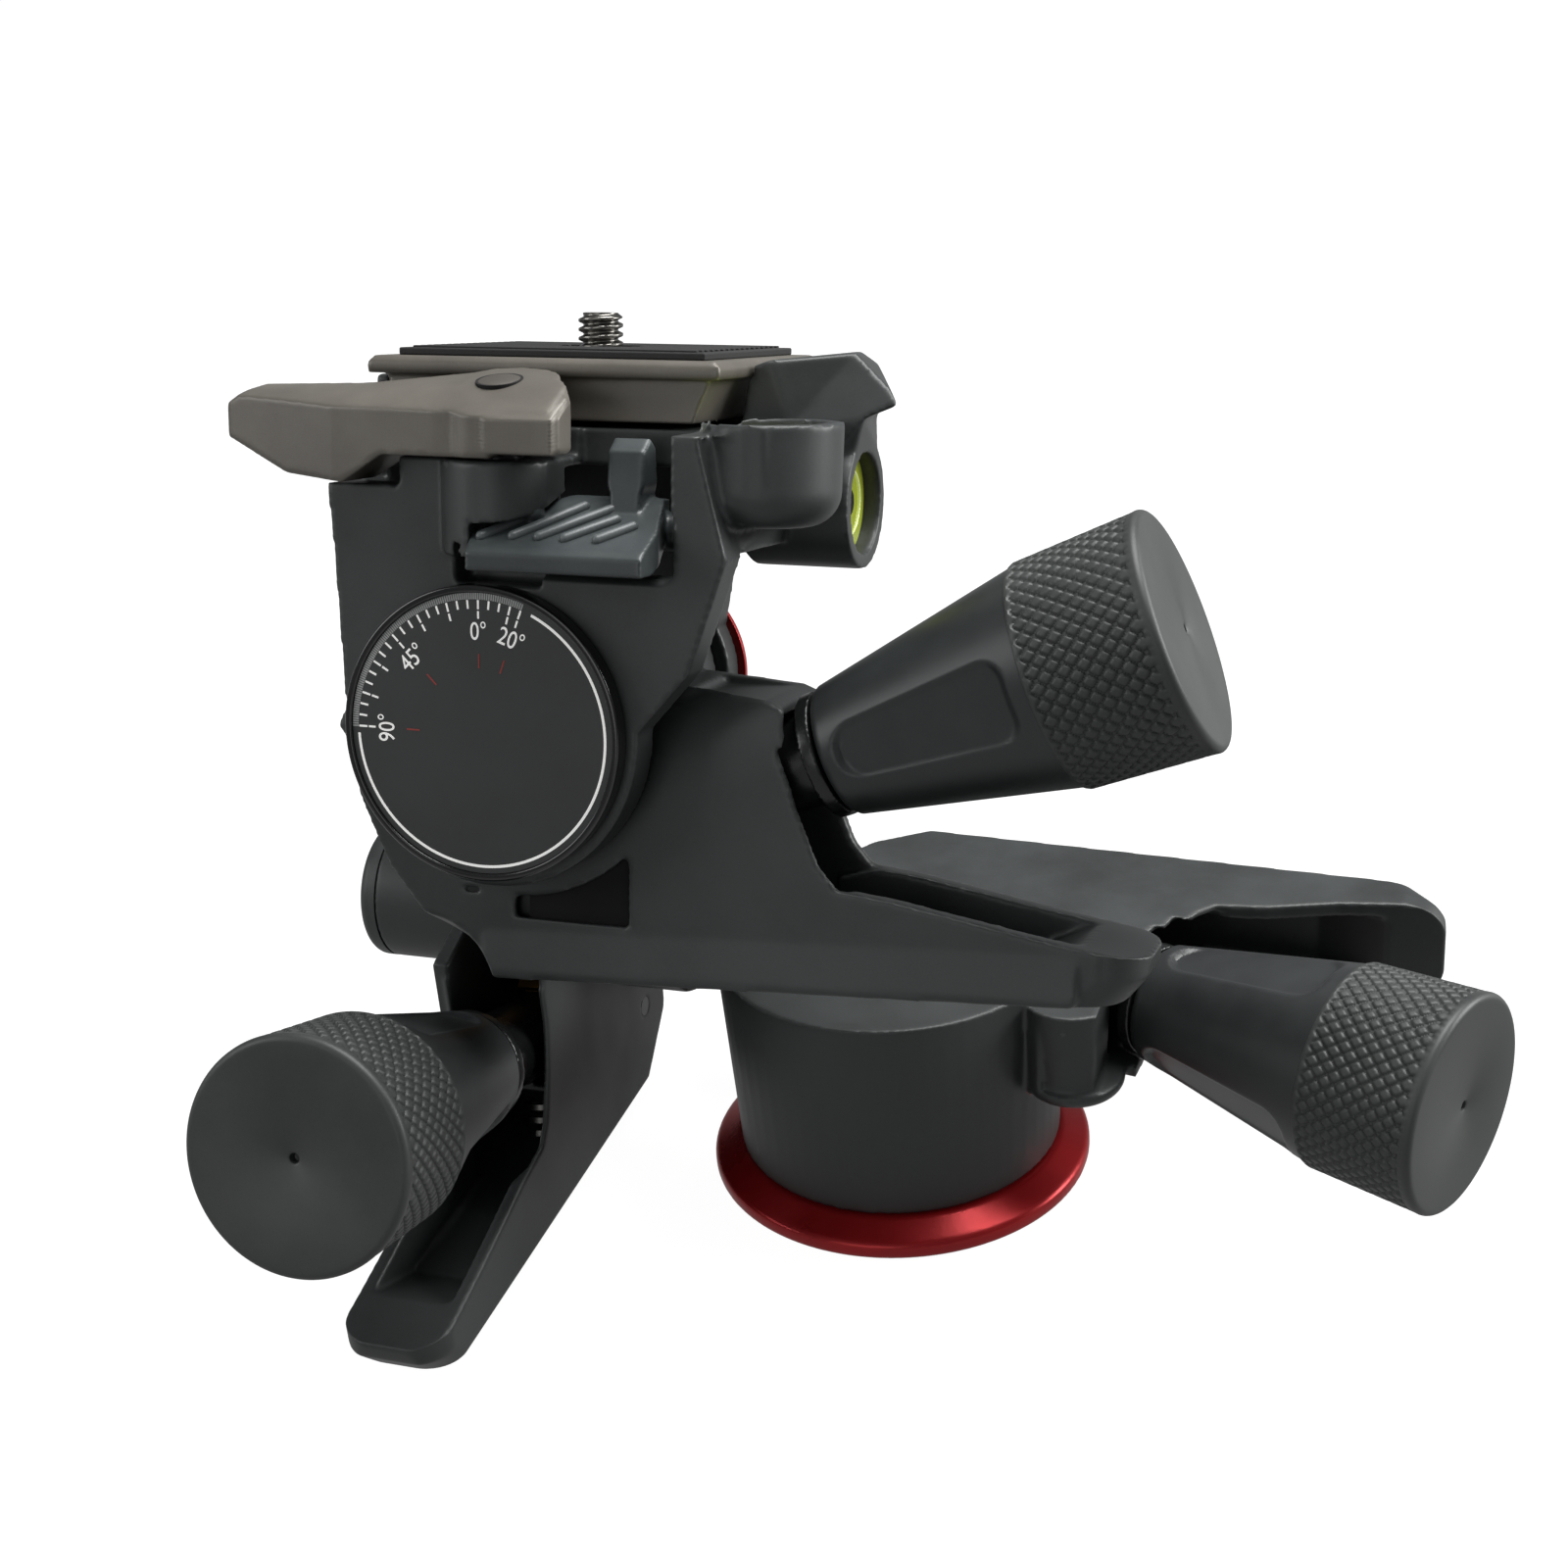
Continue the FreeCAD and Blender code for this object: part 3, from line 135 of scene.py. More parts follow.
# level housings, from the upright frame
CUP_PLACE = (-5.4, -46.0)
CUP_RADIUS = 9.8
CUP_LOW = 67.5
CUP_TOP = 80.5
CUP_BORE = 8.0
CUP_DEPTH = 5.4
CUP_ROUND = 3.5
BLOCK_EDGE = -5.5           # outer edge of the bracket's front block as built
BLOCK_FOOT = 60.0
BLOCK_NARROW = 5.3          # how far that edge comes in over BLOCK_HEIGHT
BLOCK_HEIGHT = 20.0
BLOCK_BACK = -50.0
BLOCK_FACE = -56.5          # in front of this the block's own face, behind it the cup's
SIDE_PLACE = (-27.0, 68.7)
SIDE_RADIUS = 9.0
SIDE_BORE = 6.9
SIDE_RIM = 1.6              # rim of the built side level
SIDE_FROM = -14.0
SIDE_FACE = 3.2
SIDE_DEPTH = 4.5
SIDE_CHAMFER = 2.0
VIAL_GAP = 0.1              # between a vial and its bore
CUP_VIAL_DROP = 2.6         # how deep the vials sit in their cups
SIDE_VIAL_DROP = 2.4

# safety tab: the plane of its top, and the ends of its ribs in plan
TAB_START = -52.0           # behind this the tab is as built
TAB_STRETCH = 1.4
TAB_SHORT = 2.6             # how far the lip's left end draws in
TAB_TOP = 69.9
TAB_SLOPE = 0.4614
TAB_RIBS = (((-38.4, -61.6), (-34.4, -57.0)), ((-34.0, -61.3), (-27.2, -53.8)),
            ((-30.4, -61.2), (-22.6, -53.6)), ((-26.7, -61.3), (-21.6, -56.6)),
            ((-22.2, -61.3), (-18.7, -58.0)))
TAB_RIDGE = -21.1           # middle of the upright ridge, and how much wider it grows
TAB_RIDGE_FOOT = 1.0        # over the slab's top, where the growing starts and where it is full
TAB_RIDGE_FULL = 2.5
TAB_GROW = 0.2
TAB_BALL = (-34.5, -55.4, 69.3)
TAB_BALL_RADIUS = 1.6
RIB_RADIUS = 0.75
RIB_RISE = 0.15

# room cut in the bracket in front of the tab, from the upright frame
ROOM_SIDES = (-40.0, -13.6)
ROOM_LOW = 60.7
ROOM_FRONT = -72.0
ROOM_SLOPE_END = -66.0
ROOM_GAP = 0.6              # over the tab's top

# knobs, along the shaft from the knob's inner end
PANEL_TURN = {"pan": 270.0, "lateral": -8.0, "front": 90.0}
PANEL_COUNT = 3
PANEL_START = 2.4
PANEL_MARGIN = 2.2          # between a panel and the grip
PANEL_SPREAD = 0.43         # half width of a panel, as a share of the cone's radius there
PANEL_CORNER = 3.6
PANEL_EDGE = 1.1            # width of the slope round a panel
PANEL_FLOOR = 0.895         # the floor's distance from the shaft, as a share of the radius
KNURL_AROUND = 44
KNURL_ALONG = 2.6
KNURL_DEPTH = 0.38
KNURL_BORDER = 0.5
KNURL_STEPS = 10            # mesh steps across one diamond
KNURL_LANDS = (0.66, 0.97)  # from a diamond's middle, where its top ends and its groove is deep
GRIP_EDGE = 1.0
GRIP_STEP = 0.4             # the grip stands this far above the cone
CENTRE_HOLE = 0.75
GRIP_FOOT = (0.25, 0.12)    # first step of the grip out of the cone, across and along
KNURL_INSET = (0.5, 0.6)    # plain stretch below the knurl, and above it under the edge
END_STEP = 0.5              # from the edge's rounding to the flat end
END_SINK = 0.02
HOLE_RIM = 0.3
HOLE_DEPTHS = (0.2, 1.2, 1.3)   # of its rim, its wall's foot and its middle
HOLE_TAPER = 0.7
NECK_GROW = 0.8             # how much wider the cone's foot is than the built one
NECK_EDGE = 0.8             # rounding of the cone's foot, which passes NECK_BEND
NECK_BEND = (0.3, 0.2)
CONE_ROW = 0.5              # height of a mesh row
CONE_STEPS = 216
KNURL_POWER = 5             # how square a diamond's corners are
SKIN = 0.98                 # points nearer the shaft than this share aren't on the outside

# dial print, radii in millimetres and angles clockwise from the top
LINE_RADIUS = 18.0
LINE_WIDTH = 0.36
LINE_FROM = 25.0
LINE_TO = 267.0
HATCH_INNER = 18.05
HATCH_OUTER = 18.9
HATCH_STEP = 1.0
SCALE_FROM = -90
SCALE_TO = 20
TICK_OUTER = 17.95
TICK_SHORT = 16.8
TICK_LONG_FROM = 16.5
TICK_LONG = 15.5
TICK_WIDTH = 0.26
NUMBER_RADIUS = 13.7
NUMBER_HEIGHT = 2.5
MARK_OUTER = 10.8
MARK_INNER = 8.9
MARK_WIDTH = 0.2
MARKED = (-90, -45, 0, 20)
PRINT_THICK = 0.04
DIAL_RIM = 1.0
RIM_ROUND = (0.25, 0.3)     # rounding of the rim's inner and outer edge
FACE_GAP = 0.05             # between the face and the rim
DIAL_RECESS = 0.4
DIAL_STEPS = 192
TICK_EVERY = 5
TICK_LONG_EVERY = 15
TICK_GAP = 0.25             # break near a long tick's inner end
HATCH_FILL = 0.62           # inked share of a hatch's step
LETTER_SIZE = 1.36          # font size over a number's height
LETTER_WIDTH = 0.82

# rubber pad
PAD_RIB = 0.28              # height of its ribs
PAD_PITCH = 2.0
PAD_BORDER = 1.6            # bare border round the ribs
PAD_CLEAR = 6.0             # bare circle round the camera screw

# camera screw, 1/4-20
THREAD_PITCH = 1.27
THREAD_DEPTH = 0.72
THREAD_ROWS = 14            # mesh rows in one pitch
THREAD_START = 1.0          # below the pad's top
THREAD_LEAD = 0.9           # its last stretch, where it runs out
HEAD_HEIGHT = 2.7
HEAD_CHAMFER = 0.4
HEAD_EDGE = 0.3

# what the levels show
LENS_FALL = 0.6             # from the lens's middle to its edge
LENS_EDGE = 0.25
LENS_SHARES = (0.85, 0.7, 0.55, 0.4, 0.25, 0.1, 0)   # of its radius, where its curve has points
RING_MARK = ((2.7, -0.12), (3.05, -0.14), (3.05, -0.06), (2.7, -0.04))   # radius, height over the lens
BUBBLE_RADIUS = 2.0
BUBBLE_FLAT = 0.12
BUBBLE_PLACE = (0.6, -0.9)
BUBBLE_SINK = 0.12
HUB_RISE = 0.1              # the side level's dark middle over its fluid
HUB_RADIUS = 1.8
ARC_RADIUS = 4.6            # of the side level's broken ring
ARC_STARTS = (12.0, 192.0)
ARC_SWEEP = 156.0
ARC_STEPS = 24
ARC_HALF_WIDTH = 0.16
ARC_RISE = 0.05

# edges of the shaft caps
END_CAP_EDGE = 1.6
REAR_CAP_EDGE = 0.7
TRIM_EDGE = 0.4
TRIM_SEAM = (0.3, 0.2)      # step between the trim ring and its cap, across and deep


# lamps: place in metres, size in metres, power in watts
AIM = (-0.01, -0.01, 0.07)
LAMPS = {
    "overhead": ((0.14, 0.16, 0.75), 0.55, 8.0),
    "right_window": ((0.72, 0.34, 0.34), 0.45, 6.5),
    "left_fill": ((-0.70, -0.42, 0.45), 0.5, 2.0),
    "front_fill": ((-0.10, -0.95, 0.40), 0.6, 1.0),
}
FLOOR_HALF = 6              # half the floor's side, in metres
FLOOR_IN_GLOSS = 0.40       # how much of the white floor a glossy reflection shows
FLOOR_GLOW = 1.16
FLOOR_FLAT = 0.84           # how little of the object's shadow the floor shows
AMBIENT = 0.19              # strength of the light from all round
AMBIENT_COLOUR = (0.95, 0.97, 1.0, 1)


# ---- frames and small tools -------------------------------------------------------------------
def place(origin, x_axis, y_axis, z_axis):
    """Matrix from millimetres in a local frame to metres in the object's frame."""
    turn = Matrix((x_axis, y_axis, z_axis)).transposed().to_4x4()
    return Matrix.Translation(origin) @ turn @ Matrix.Scale(MM, 4)


def joint_point(name):
    return Vector(JOINTS[name]["pos_m"])


def joint_axis(name):
    return Vector(JOINTS[name]["axis"]).normalized()


UP = joint_axis("release_lever_turn")
FRONT = joint_axis("front_tilt")
RIGHT = UP.cross(FRONT)
LATERAL = joint_point("lateral_tilt")
UPRIGHT = place(Vector((0, 0, LATERAL.z)), RIGHT, -FRONT, UP)
WORLD_UNIT = Matrix.Identity(4)
MOST = 190000               # triangles in a large casting
NEAR = 0.4                  # a built corner this near a built surface, in millimetres, is on it
ROUND_STEPS = 96            # sides of a small turned piece


def span(node, matrix):
    """Lowest and highest corner of a CAD node in a local frame, in millimetres."""
    local = matrix.inverted()
    points = [local @ vertex.co for vertex in frame["nodes"][node].data.vertices]
    low = Vector([min(point[axis] for point in points) for axis in range(3)])
    high = Vector([max(point[axis] for point in points) for axis in range(3)])
    return low, high


def warp(vertices, matrix, rule):
    """Moves points by a rule for their place in a local frame; it says whether it moved one."""
    local = matrix.inverted()
    for vertex in vertices:
        spot = local @ vertex.co
        if rule(spot):
            vertex.co = matrix @ spot


def smoothstep(low, high, value):
    share = min(1.0, max(0.0, (value - low) / (high - low)))
    return share * share * (3 - 2 * share)


def steps(start, end, size):
    """Evenly spaced values from start to end, about size apart."""
    count = max(1, round((end - start) / size))
    return [start + (end - start) * k / count for k in range(count + 1)]


def hex_colour(code):
    """Linear colour of an sRGB hex code."""
    values = [int(code[k:k + 2], 16) / 255 for k in (0, 2, 4)]
    linear = [v / 12.92 if v <= 0.04045 else ((v + 0.055) / 1.055) ** 2.4 for v in values]
    return (*linear, 1.0)


def node(tree, kind, settings=(), links=()):
    """Adds a node; settings go to its sockets, its colour stops or itself, links to its sockets."""
    made = tree.nodes.new(kind)
    for key, value in dict(settings).items():
        if key == "stops":
            ramp = made.color_ramp
            ramp.elements[0].position, ramp.elements[0].color = value[0]
            ramp.elements[1].position, ramp.elements[1].color = value[1]
        elif isinstance(key, int) or key in made.inputs:
            made.inputs[key].default_value = value
        else:
            setattr(made, key, value)
    for key, socket in dict(links).items():
        tree.links.new(socket, made.inputs[key])
    return made


# ---- materials --------------------------------------------------------------------------------
PATCH = 18.0                # size of the slow change of tone, in millimetres
GRAIN_IN_TONE = 0.35        # how much of the grain shows in the tone
PATCH_IN_EDGE_HIGHLIGHT = 0.05        # how unevenly the painted highlight lies along the edges
TONE_SPAN = (0.48, 0.86)    # noise values at which the tone reaches its ends
EDGE_HIGHLIGHT_SPAN = (0.56, 0.66)  # how sharp an edge is where its painted highlight starts and where it is full


def finish(name, dark, light, rough, grain, relief, metal=0.0, coat=0.0, edge_highlight=None, painted_glow=0.0):
    """A procedural finish: grain is a size in millimetres, and relief the grain's height.

    dark and light are the ends of its slow change of tone, rough the ends of its roughness, and
    the edge colour a painted highlight on sharp edges. The glow, painted light, lifts a printed or fluorescent
    colour.
    """
    material = bpy.data.materials.new(name)
    material.use_nodes = True
    tree = material.node_tree
    tree.nodes.clear()
    here = node(tree, "ShaderNodeTexCoord").outputs["Object"]
    fine = node(tree, "ShaderNodeTexNoise",
                {"Scale": 1 / (grain * MM), "Detail": 3.0, "Roughness": 0.65},
                {"Vector": here}).outputs["Fac"]
    slow = node(tree, "ShaderNodeTexNoise",
                {"Scale": 1 / (PATCH * MM), "Detail": 5.0, "Roughness": 0.6},
                {"Vector": here}).outputs["Fac"]
    both = node(tree, "ShaderNodeMath", {"operation": "MULTIPLY_ADD", 1: GRAIN_IN_TONE},
                {0: fine, 2: slow})
    ends = ((TONE_SPAN[0], hex_colour(dark)), (TONE_SPAN[1], hex_colour(light)))
    tone = node(tree, "ShaderNodeValToRGB", {"stops": ends}, {"Fac": both.outputs[0]})
    colour = tone.outputs["Color"]
    # sharp edges are lightened towards the edge colour: a painted highlight
    if edge_highlight:
        edge = node(tree, "ShaderNodeNewGeometry").outputs["Pointiness"]
        highlight_amount = node(tree, "ShaderNodeMath", {"operation": "MULTIPLY_ADD", 1: PATCH_IN_EDGE_HIGHLIGHT},
                    {0: slow, 2: edge})
        ends = ((EDGE_HIGHLIGHT_SPAN[0], (0, 0, 0, 1)), (EDGE_HIGHLIGHT_SPAN[1], (1, 1, 1, 1)))
        mask = node(tree, "ShaderNodeValToRGB", {"stops": ends}, {"Fac": highlight_amount.outputs[0]})
        mix = node(tree, "ShaderNodeMix", {"data_type": "RGBA", 7: hex_colour(edge_highlight)},
                   {0: mask.outputs["Color"], 6: colour})
        colour = mix.outputs[2]
    gloss = node(tree, "ShaderNodeMapRange",
                 {"From Min": 0.3, "From Max": 0.7, "To Min": rough[0], "To Max": rough[1]},
                 {"Value": slow})
    bump = node(tree, "ShaderNodeBump", {"Strength": 1.0, "Distance": relief * MM}, {"Height": fine})
    # the emission is a painted glow: light given off by a part that is no lamp
    shader = node(tree, "ShaderNodeBsdfPrincipled",
                  {"Metallic": metal, "Coat Weight": coat, "Coat Roughness": 0.12,
                   "Emission Color": hex_colour(light), "Emission Strength": painted_glow},
                  {"Base Color": colour, "Roughness": gloss.outputs["Result"],
                   "Normal": bump.outputs["Normal"]})
    node(tree, "ShaderNodeOutputMaterial", {}, {"Surface": shader.outputs[0]})
    return material


def make_finishes():
    """One finish for each kind of surface on the head."""
    return {
        # powder paint on an aluminium casting: even charcoal, a soft wide sheen, a fine tooth and a painted
        # highlight on its sharp edges
        "casting": finish("satin_powder_coat", "2b2d2d", "383b3b",
                          (0.40, 0.50), grain=0.30, relief=0.010, edge_highlight="4a4e4d"),
        # black anodising on a turned and milled part: darker and glossier than the castings
        "carrier": finish("black_anodising", "141515", "1e2020",
                          (0.24, 0.34), grain=0.12, relief=0.003, metal=0.2),
        # moulded nylon cone, polished by hands: a soft highlight runs down each side
        "knob": finish("moulded_nylon", "222425", "2f3232", (0.36, 0.46), grain=0.22, relief=0.006),
        # hard rubbery grip moulding: greyer, duller and with a fine tooth
        "knob_grip": finish("moulded_grip", "2e3130", "3c3f3d", (0.44, 0.54), grain=0.25, relief=0.008),
        # warm grey paint on cast zinc, with the sparkle of its grain in the highlights
        "plate": finish("taupe_metallic_paint", "5d5953", "6e6a62",
                        (0.34, 0.44), grain=0.20, relief=0.014, metal=0.25),
        # red anodised aluminium: the metal shows through as a broad soft highlight
        "red_trim": finish("red_anodising", "a0181c", "b82024",
                           (0.26, 0.34), grain=0.15, relief=0.003, metal=0.45),
        # black rubber: dull, and darker than all that is round it
        "pad": finish("black_rubber", "121212", "1c1c1c", (0.62, 0.78), grain=0.35, relief=0.03),
        # turned steel: the brightest metal, with sharp highlights
        "steel": finish("turned_steel", "6f6d69", "8a8883",
                        (0.24, 0.36), grain=0.10, relief=0.002, metal=1.0),
        # oiled bronze of the wheels and bushes: warm glints in the openings
        "bronze": finish("oiled_bronze", "6f5128", "8a6a3a",
                         (0.25, 0.4), grain=0.20, relief=0.004, metal=1.0),
        # drawn spring wire: grey steel glints
        "spring": finish("spring_wire", "6c6b69", "858480",
                         (0.25, 0.35), grain=0.15, relief=0.002, metal=1.0),
        # lacquered face of the dial: even and dull, close to the castings in tone
        "dial": finish("dial_lacquer", "2c2d2d", "333535", (0.46, 0.54), grain=0.20, relief=0.002),
        # dead black: painted shade on the sheet behind the window, so the opening before it reads as deep, and the
        # dark seam round the lever's plug
        "black": finish("painted_shade_and_seam_black", "040404", "070707", (0.85, 0.95), grain=0.30, relief=0.004),
        # gloss black moulding: a thin bright line of light round the dial
        "gloss": finish("gloss_black_rim", "0c0c0d", "141415",
                        (0.12, 0.2), grain=0.40, relief=0.002, coat=0.5),
        # satin black nylon of the caps: soft highlights, a shade glossier than the paint
        "cap": finish("satin_nylon", "26292a", "34383a", (0.28, 0.4), grain=0.25, relief=0.008),
        # satin nylon of the tab, greyed by handling, with a painted highlight on its sharp edges, and its ribs,
        # worn paler
        "tab": finish("handled_nylon", "34393a", "444a4b",
                      (0.30, 0.42), grain=0.25, relief=0.010, edge_highlight="626869"),
        "tab_rib": finish("worn_nylon", "4b5051", "5f6465", (0.34, 0.46), grain=0.25, relief=0.014),
        # the lever's plug: the lever's paint, duller where it is pressed in
        "plug": finish("dull_taupe_paint", "4a4641", "57534d",
                       (0.42, 0.52), grain=0.20, relief=0.012, metal=0.2),
        # screen-printed inks: flat and dull; the white has a painted glow that keeps it bright enough to read at a
        # small size
        "white_print": finish("white_print", "f4f4f0", "fbfbf8",
                              (0.5, 0.6), grain=0.30, relief=0.001, painted_glow=0.28),
        "grey_print": finish("grey_print", "a2a4a2", "b4b6b4", (0.5, 0.6), grain=0.30, relief=0.001),
        "red_print": finish("red_print", "94342c", "a23d34", (0.5, 0.6), grain=0.30, relief=0.001),
        # level's fluorescent yellow-green fluid under acrylic: wet-looking, with a painted glow that keeps it
        # bright in its shaded cup
        "vial": finish("level_fluid", "8f9c2c", "a4b13c",
                       (0.08, 0.14), grain=2.0, relief=0.001, coat=0.8, painted_glow=0.22),
        # paler fluid of the bubble and the side level's ring marks, with a stronger painted glow
        "bubble": finish("level_bubble", "c9d280", "dbe49c",
                         (0.06, 0.1), grain=2.0, relief=0.001, coat=0.8, painted_glow=0.35),
    }


FINISH = make_finishes()


# ---- mesh tools -------------------------------------------------------------------------------
def turned(profile, count=128):
    """Mesh turned about z from (radius, height) points, with poles and seam closed."""
    bm = bmesh.new()
    verts = [bm.verts.new((radius, 0, height)) for radius, height in profile]
    edges = [bm.edges.new(pair) for pair in zip(verts, verts[1:])]
    bmesh.ops.spin(bm, geom=verts + edges, cent=(0, 0, 0), axis=(0, 0, 1), angle=math.tau, steps=count,
                   use_merge=True)
    bmesh.ops.remove_doubles(bm, verts=bm.verts, dist=0.001)
    bmesh.ops.recalc_face_normals(bm, faces=bm.faces)
    return bm


def ring_profile(profile):
    """Closes a profile that doesn't touch the axis."""
    return list(profile) + [profile[0]]


def arc(centre, radius, start, end, count=6):
    """Points of an arc in a profile, angles in degrees from the outward direction."""
    angles = [math.radians(start + (end - start) * k / count) for k in range(count + 1)]
    return [(centre[0] + radius * math.cos(a), centre[1] + radius * math.sin(a)) for a in angles]


def capsule(bm, start, end, radius, flat=1.0):
    """Adds a round-ended bar between two points; flat squeezes it across, along y, before it is turned."""
    start = Vector(start)
    along = Vector(end) - start
    made = bmesh.ops.create_uvsphere(bm, u_segments=16, v_segments=10, radius=radius)["verts"]
    for vertex in made:
        vertex.co.y *= flat
        if vertex.co.z > 0:
            vertex.co.z += along.length
    turn = along.to_track_quat("Z", "Y").to_matrix().to_4x4()
    bmesh.ops.transform(bm, matrix=Matrix.Translation(start) @ turn, verts=made)


def bar(bm, size, matrix):
    """Adds a block of that size, centred where the matrix puts it."""
    made = bmesh.ops.create_cube(bm, size=1.0)["verts"]
    bmesh.ops.scale(bm, vec=size, verts=made)
    bmesh.ops.transform(bm, matrix=matrix, verts=made)


def make_object(name, mesh, finish_name, body, replaced=()):
    """Puts a finished mesh in the scene, on its body and with its finish."""
    mesh.materials.clear()
    mesh.materials.append(FINISH[finish_name])
    made = bpy.data.objects.new(name, mesh)
    bpy.context.scene.collection.objects.link(made)
    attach(made, body)
    if replaced:
        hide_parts(*replaced)
    return made


def add_piece(name, bm, matrix, finish_name, body, replaced=(), bevel=0.0, segments=3):
    """Turns a bmesh in a local frame into a piece in place, with rounded edges if bevel is set."""
    bmesh.ops.transform(bm, matrix=matrix, verts=bm.verts)
    mesh = bpy.data.meshes.new(name)
    bm.to_mesh(mesh)
    bm.free()
    mesh.shade_smooth()
    mesh.set_sharp_from_angle(angle=math.radians(40))
    made = make_object(name, mesh, finish_name, body, replaced)
    if bevel:
        rounding = made.modifiers.new("rounding", "BEVEL")
        rounding.width = bevel * MM
        rounding.segments = segments
        rounding.limit_method = "ANGLE"
        rounding.angle_limit = math.radians(35)
        rounding.harden_normals = True
    return made


def evaluated_mesh(made):
    graph = bpy.context.evaluated_depsgraph_get()
    return bpy.data.meshes.new_from_object(made.evaluated_get(graph))


def cast_copy(node_name, finish_name, body, voxel, rounds, most,
              rework=None, dress=None, cutter=None):
    """A CAD node with its edges rounded as a casting's are.

    voxel is the fine mesh's pitch in millimetres, rounds how often it is smoothed, and most its
    largest number of triangles. rework changes the built corners, cutter is taken away, and dress
    moves the fine mesh's points.
    """
    mesh = frame["nodes"][node_name].data.copy()
    bm = bmesh.new()
    bm.from_mesh(mesh)
    bmesh.ops.remove_doubles(bm, verts=bm.verts, dist=1e-6)
    if rework:
        rework(bm)
    bm.to_mesh(mesh)
    bm.free()
    draft = bpy.data.objects.new("draft", mesh)
    bpy.context.scene.collection.objects.link(draft)
    if cutter:
        cut = draft.modifiers.new("cut", "BOOLEAN")
        cut.operation = "DIFFERENCE"
        cut.object = cutter
    remesh = draft.modifiers.new("remesh", "REMESH")
    remesh.mode = "VOXEL"
    remesh.voxel_size = voxel * MM
    dense = evaluated_mesh(draft)
    draft.modifiers.clear()
    draft.data = dense
    if cutter:
        bpy.data.objects.remove(cutter)
    if dress:
        dress(dense.vertices)
    soften = draft.modifiers.new("soften", "SMOOTH")
    soften.factor = 0.5
    soften.iterations = rounds
    thin = draft.modifiers.new("thin", "DECIMATE")
    thin.ratio = min(1.0, most / (2 * len(dense.polygons)))
    final = evaluated_mesh(draft)
    bpy.data.objects.remove(draft)
    final.name = node_name + "_cast"
    final.shade_smooth()
    return make_object(node_name + "_cast", final, finish_name, body, (node_name,))


# ---- castings ---------------------------------------------------------------------------------
def hull(bm, points, matrix):
    """Adds the convex block round some corners."""
    verts = [bm.verts.new(matrix @ Vector(point)) for point in points]
    bmesh.ops.convex_hull(bm, input=verts)


def slab(bm, outline, low, high, matrix):
    """Adds a convex block over an outline in x and y."""
    hull(bm, [(x, y, z) for x, y in outline for z in (low, high)], matrix)


def plan_frame(drive):
    """Local frame of a drive: origin on the wheel's axis, x along its wing, y up from its foot."""
    shaft = joint_axis(drive + "_knob_turn")
    axle = -joint_axis(drive + "_release")
    worm = place(joint_point(drive + "_knob_turn"), shaft, axle.cross(shaft), axle)
    lean = math.radians(KNOB_LEAN)
    back = Matrix.Translation((-CENTRES * math.sin(lean), CENTRES * math.cos(lean), 0))
    return worm @ Matrix.Rotation(-lean, 4, "Z") @ back


def wing_ends(drive, casting):
    """A wing's reach and the height of its foot, in its drive's frame."""
    local = plan_frame(drive).inverted()
    points = [local @ vertex.co for vertex in frame["nodes"][casting].data.vertices]
    reach = max(point.x for point in points)
    foot = min(point.y for point in points if point.x > reach - TIP_LENGTH)
    return reach, foot


def level_tip(bm, drive, casting):
    """Lowers a wing's tip to one flat facet that a ramp leads up to."""
    plan = plan_frame(drive)
    reach, foot = wing_ends(drive, casting)
    inner = reach - TIP_LENGTH

    def lower(spot):
        limit = foot + TIP_HEIGHT - TIP_FALL * (spot.x - inner)
        moved = spot.x > inner and spot.y > limit and abs(spot.z) < 2 * WING_HALF
        if moved:
            spot.y = limit
        return moved

    warp(bm.verts, plan, lower)
    edge = reach - RAMP_END
    floor = foot + WING_FLOOR
    ramp = [(edge - RAMP_LENGTH, floor - RAMP_SINK), (edge - RAMP_LENGTH, floor),
            (edge, foot + TIP_HEIGHT - RAMP_DROP), (edge + RAMP_LAP, floor - RAMP_SINK)]
    slab(bm, ramp, -CHANNEL_HALF, CHANNEL_HALF, plan)


def round_tip(vertices, drive, casting):
    """Rounds the two corners of a wing's tip."""
    reach, foot = wing_ends(drive, casting)

    def round_corner(spot):
        end = reach - max(0.0, foot + TIP_SLANT - spot.y)
        past_x = spot.x - (end - TIP_CORNER)
        past_z = abs(spot.z) - (WING_HALF - TIP_CORNER)
        moved = past_x > 0 and past_z > 0 and abs(spot.z) < 2 * WING_HALF
        if moved:
            share = min(1.0, TIP_CORNER / math.hypot(past_x, past_z))
            spot.x = end - TIP_CORNER + past_x * share
            spot.z = math.copysign(WING_HALF - TIP_CORNER + past_z * share, spot.z)
        return moved

    warp(vertices, plan_frame(drive), round_corner)


def rework_lower(bm):
    """Wing tips and the pan worm's boss."""
    level_tip(bm, "pan", "lower_housing")
    level_tip(bm, "lateral", "lower_housing")
    boss = bmesh.ops.create_cone(bm, cap_ends=True, segments=64, radius1=BOSS_RADIUS, radius2=BOSS_RADIUS,
                                 depth=BOSS_HEIGHT, matrix=Matrix.Translation(BOSS_PLACE))["verts"]
    for vertex in boss:
        vertex.co.x = min(vertex.co.x, BOSS_FACE)
        rounding = BOSS_EDGE * max(0.0, (BOSS_EDGE_TOP - vertex.co.z) / 2)
        vertex.co.x -= rounding * (vertex.co.x - BOSS_PLACE[0]) / BOSS_EDGE_REACH
        vertex.co.y -= rounding * (vertex.co.y - BOSS_PLACE[1]) / BOSS_EDGE_REACH
    bmesh.ops.scale(bm, vec=(MM, MM, MM), verts=boss)


def dress_lower(vertices):
    """Rounds the tips of the pan wing and the lateral wing."""
    round_tip(vertices, "pan", "lower_housing")
    round_tip(vertices, "lateral", "lower_housing")


def rework_middle(bm):
    """The front wing's tip and the roof over the front worm."""
    level_tip(bm, "front", "middle_housing")
    slab(bm, ROOF, ROOF_SIDES[0], ROOF_SIDES[1], plan_frame("front"))


